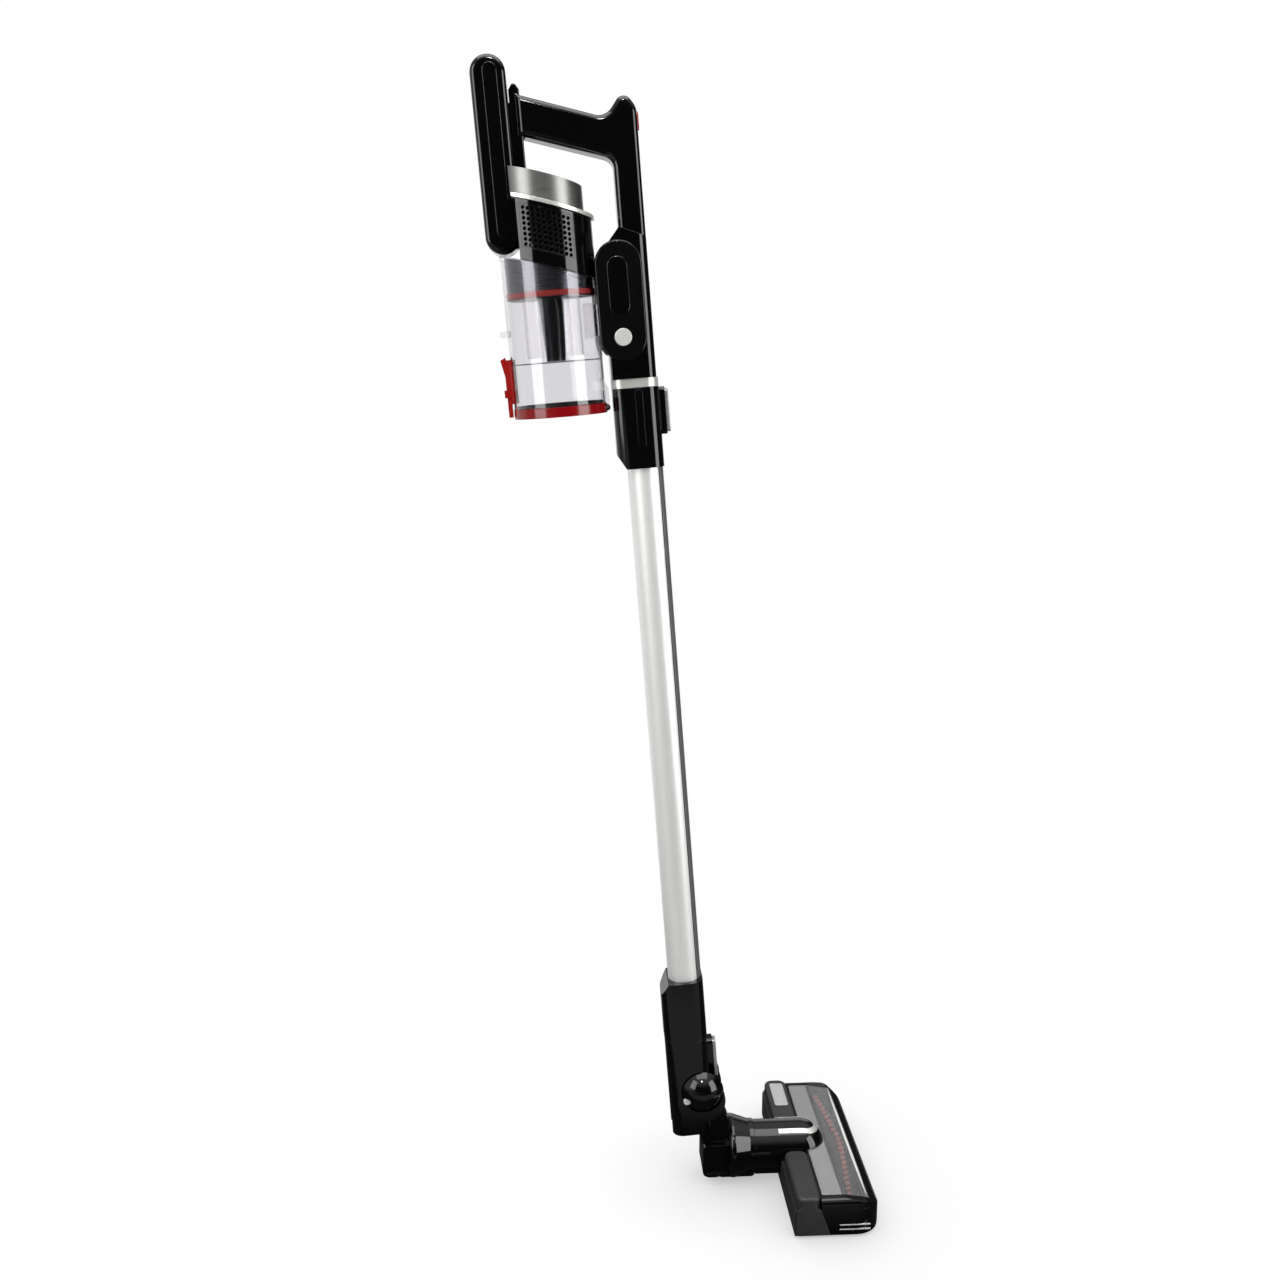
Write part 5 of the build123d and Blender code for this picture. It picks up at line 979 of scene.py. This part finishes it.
@dataclass
class Studio:
    """Plain pale floor, soft light, and the camera of the photograph."""

    eye_mm: tuple[float, float, float] = (-116.5, -1300.0, 856.0)
    yaw_deg: float = 3.3
    pitch_deg: float = -11.5
    focal_px: float = 1340.0
    picture_px: float = 1280.0
    sensor_mm: float = 36.0
    floor_half_m: float = 12.0
    floor_drop_mm: float = 0.3
    contact_m: float = 0.12
    contact_shade: str = "#b4b4b4"
    floor_colour: str = "#e6e6e6"
    floor_far: Step = Step(0.2, 0.03, 0.9, 0.85)
    floor_right: Step = Step(0.2, 1.0, 0.36, 0.04)
    floor_front: Step = Step(-0.65, 0.03, -0.4, 0.34)
    floor_near: Step = Step(-0.22, 1.0, -0.12, 0.1)
    floor_left: Step = Step(-0.9, 0.35, -0.3, 0.03)
    world_low: Step = Step(0.34, 0.95, 0.5, 0.08)
    world_back: Step = Step(-0.1, 0.0, 0.7, 1.0)
    world_right: Step = Step(0.36, 1.0, 0.48, 0.04)
    world_left: Step = Step(-0.95, 0.75, -0.55, 0.025)
    world_above: Step = Step(0.35, 0.025, 0.85, 0.85)
    backdrop: str = "#ffffff"
    lamps: list[Lamp] = field(default_factory=list)

    def camera(self) -> None:
        """Set the camera at the photograph's place, turn and angle of view."""
        data = bpy.data.cameras.new("photo_camera")
        data.sensor_width = self.sensor_mm
        data.lens = self.focal_px / self.picture_px * self.sensor_mm
        data.clip_end = 100.0
        made = bpy.data.objects.new("photo_camera", data)
        bpy.context.scene.collection.objects.link(made)
        made.location = Vector(self.eye_mm) * MM
        yaw, pitch = math.radians(self.yaw_deg), math.radians(self.pitch_deg)
        ahead = Vector((math.sin(yaw) * math.cos(pitch), math.cos(yaw) * math.cos(pitch), math.sin(pitch)))
        made.rotation_mode = "QUATERNION"
        made.rotation_quaternion = ahead.to_track_quat("-Z", "Y")
        bpy.context.scene.camera = made

    def seen(self, tree: Tree) -> Socket:
        """One for what is seen straight or through clear plastic, and nought for light on surfaces.

        Args:
            tree: Node tree of the floor or the world.

        Returns:
            The socket with the value.
        """
        path = add_node(tree, "ShaderNodeLightPath").outputs
        depths = {0: path["Diffuse Depth"], 1: path["Glossy Depth"]}
        bounces = add_node(tree, "ShaderNodeMath", depths, operation="ADD")
        direct = add_node(tree, "ShaderNodeMath", {0: bounces.outputs[0], 1: 0.5}, operation="LESS_THAN")
        clear = {0: path["Is Transmission Ray"], 1: direct.outputs[0]}
        through = add_node(tree, "ShaderNodeMath", clear, operation="MULTIPLY")
        both = {0: path["Is Camera Ray"], 1: through.outputs[0]}
        return add_node(tree, "ShaderNodeMath", both, operation="MAXIMUM").outputs[0]

    def ramp(self, tree: Tree, value: Socket, step: Step) -> Socket:
        """Level that follows a value over a smooth step.

        Args:
            tree: Node tree of the floor or the world.
            value: The value.
            step: The step.

        Returns:
            The socket with the level.
        """
        inputs = {
            "Value": value, "From Min": step.start, "From Max": step.end,
            "To Min": step.start_level, "To Max": step.end_level,
        }
        smooth = add_node(tree, "ShaderNodeMapRange", inputs, interpolation_type="SMOOTHSTEP")
        return smooth.outputs["Result"]

    def brightest(self, tree: Tree, levels: list[Socket]) -> Socket:
        """Largest of some levels."""
        value = levels[0]
        for level in levels[1:]:
            value = add_node(tree, "ShaderNodeMath", {0: value, 1: level}, operation="MAXIMUM").outputs[0]
        return value

    def product(self, tree: Tree, first: Socket, second: Socket) -> Socket:
        """Product of two levels."""
        return add_node(tree, "ShaderNodeMath", {0: first, 1: second}, operation="MULTIPLY").outputs[0]

    def floor(self) -> None:
        """Wide pale floor: white with a contact shadow, and clear to see a lowered head through.

        In reflections it is bright behind and mostly dark in front.
        """
        half, down = self.floor_half_m, -self.floor_drop_mm * MM
        mesh = bpy.data.meshes.new("floor")
        corners = [(-half, -half, down), (half, -half, down), (half, half, down), (-half, half, down)]
        mesh.from_pydata(corners, [], [(0, 1, 2, 3)])
        made = bpy.data.objects.new("floor", mesh)
        bpy.context.scene.collection.objects.link(made)
        material = bpy.data.materials.new("white_paper_sweep")
        material.use_nodes = True
        tree = material.node_tree
        tree.nodes.clear()
        place = add_node(tree, "ShaderNodeTexCoord").outputs["Object"]
        axes = add_node(tree, "ShaderNodeSeparateXYZ", {0: place}).outputs
        far = self.ramp(tree, axes["Y"], self.floor_far)
        behind = self.product(tree, far, self.ramp(tree, axes["X"], self.floor_right))
        start = self.ramp(tree, axes["Y"], self.floor_front)
        ahead = self.product(tree, start, self.ramp(tree, axes["Y"], self.floor_near))
        left = self.ramp(tree, axes["X"], self.floor_left)
        level = self.brightest(tree, [behind, ahead, left])
        mirrored = add_node(tree, "ShaderNodeEmission", {"Strength": level})
        plain = add_node(tree, "ShaderNodeBsdfDiffuse", {"Color": linear(self.floor_colour)})
        clear = add_node(tree, "ShaderNodeBsdfTransparent").outputs[0]
        around = add_node(tree, "ShaderNodeAmbientOcclusion", {"Distance": self.contact_m}, samples=8)
        shade = add_node(tree, "ShaderNodeEmission", {"Color": linear(self.contact_shade), "Strength": 1.0})
        contact = {0: around.outputs["AO"], 1: shade.outputs[0], 2: clear}
        shown = add_node(tree, "ShaderNodeMixShader", contact).outputs[0]
        glossy = add_node(tree, "ShaderNodeLightPath").outputs["Is Glossy Ray"]
        by_ray = {0: glossy, 1: plain.outputs[0], 2: mirrored.outputs[0]}
        lit = add_node(tree, "ShaderNodeMixShader", by_ray).outputs[0]
        top = add_node(tree, "ShaderNodeMixShader", {0: self.seen(tree), 1: lit, 2: shown}).outputs[0]
        below = add_node(tree, "ShaderNodeNewGeometry").outputs["Backfacing"]
        surface = add_node(tree, "ShaderNodeMixShader", {0: below, 1: top, 2: clear}).outputs[0]
        add_node(tree, "ShaderNodeOutputMaterial", {"Surface": surface})
        mesh.materials.append(material)

    def world(self) -> None:
        """White surround to the eye; as light, a studio that is pale low behind, on the left and above."""
        world = bpy.data.worlds.new("studio")
        bpy.context.scene.world = world
        world.use_nodes = True
        tree = world.node_tree
        tree.nodes.clear()
        place = add_node(tree, "ShaderNodeTexCoord").outputs["Generated"]
        axes = add_node(tree, "ShaderNodeSeparateXYZ", {0: place}).outputs
        low = self.ramp(tree, axes["Z"], self.world_low)
        back = self.product(tree, self.ramp(tree, axes["Y"], self.world_back), low)
        behind = self.product(tree, back, self.ramp(tree, axes["X"], self.world_right))
        left = self.ramp(tree, axes["X"], self.world_left)
        above = self.ramp(tree, axes["Z"], self.world_above)
        level = self.brightest(tree, [behind, left, above])
        studio = add_node(tree, "ShaderNodeBackground", {"Color": linear("#ffffff"), "Strength": level})
        white = add_node(tree, "ShaderNodeBackground", {"Color": linear(self.backdrop), "Strength": 1.0})
        by_ray = {0: self.seen(tree), 1: studio.outputs[0], 2: white.outputs[0]}
        mixed = add_node(tree, "ShaderNodeMixShader", by_ray).outputs[0]
        add_node(tree, "ShaderNodeOutputWorld", {"Surface": mixed})

    def light(self) -> None:
        """Hang the soft boxes."""
        for lamp in self.lamps:
            lamp.hang()

    def build(self) -> None:
        """Set up the whole studio and its plain picture settings."""
        bpy.context.scene.view_settings.view_transform = "Standard"
        self.camera()
        self.floor()
        self.world()
        self.light()


@dataclass
class Lamp:
    """A soft box: its place, aim and size in metres, and its power in watts."""

    name: str
    place: tuple[float, float, float]
    aim: tuple[float, float, float]
    size: tuple[float, float]
    power: float

    def hang(self) -> None:
        """Add the lamp to the scene."""
        data = bpy.data.lights.new(self.name, "AREA")
        data.shape = "RECTANGLE"
        data.size, data.size_y = self.size
        data.energy = self.power
        made = bpy.data.objects.new(self.name, data)
        bpy.context.scene.collection.objects.link(made)
        made.location = self.place
        ahead = Vector(self.aim) - Vector(self.place)
        made.rotation_mode = "QUATERNION"
        made.rotation_quaternion = ahead.to_track_quat("-Z", "Y")
        made.visible_camera = False


def soft_boxes() -> list[Lamp]:
    """The studio's lamps: a tall one on either side, one overhead and a small one in front."""
    return [
        Lamp("left_box", (-1.6, -1.2, 1.3), (0.0, 0.0, 0.7), (1.1, 1.6), 24.0),
        Lamp("top_box", (0.0, -0.2, 2.6), (0.0, 0.0, 0.6), (2.2, 1.6), 38.0),
        Lamp("right_box", (1.7, -1.1, 0.9), (0.0, 0.0, 0.5), (1.1, 1.8), 34.0),
        Lamp("front_lamp", (-0.12, -1.4, 2.1), (0.0, 0.0, 0.4), (0.22, 0.22), 11.0),
    ]


def main() -> None:
    """Load the frame, dress it, add the fine pieces and set up the studio."""
    logging.basicConfig(level=logging.INFO)
    for made in list(bpy.data.objects):
        bpy.data.objects.remove(made)
    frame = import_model()
    stick = Stick.of(frame)
    shop = Workshop()
    shop.dress_nodes(frame["nodes"])
    BristleRows().build(shop, frame)
    WandStrip().build(shop, stick)
    for panel in raised_panels():
        panel.build(shop, stick)
    BinTrim().build(shop, stick)
    GrilleShadeSheet().build(shop, stick)
    EndCapInlays().build(shop)
    PaneHighlightBead().build(shop)
    PadPlate().build(shop)
    Studio(lamps=soft_boxes()).build()
    bpy.context.view_layer.update()


if __name__ == "__main__":
    main()
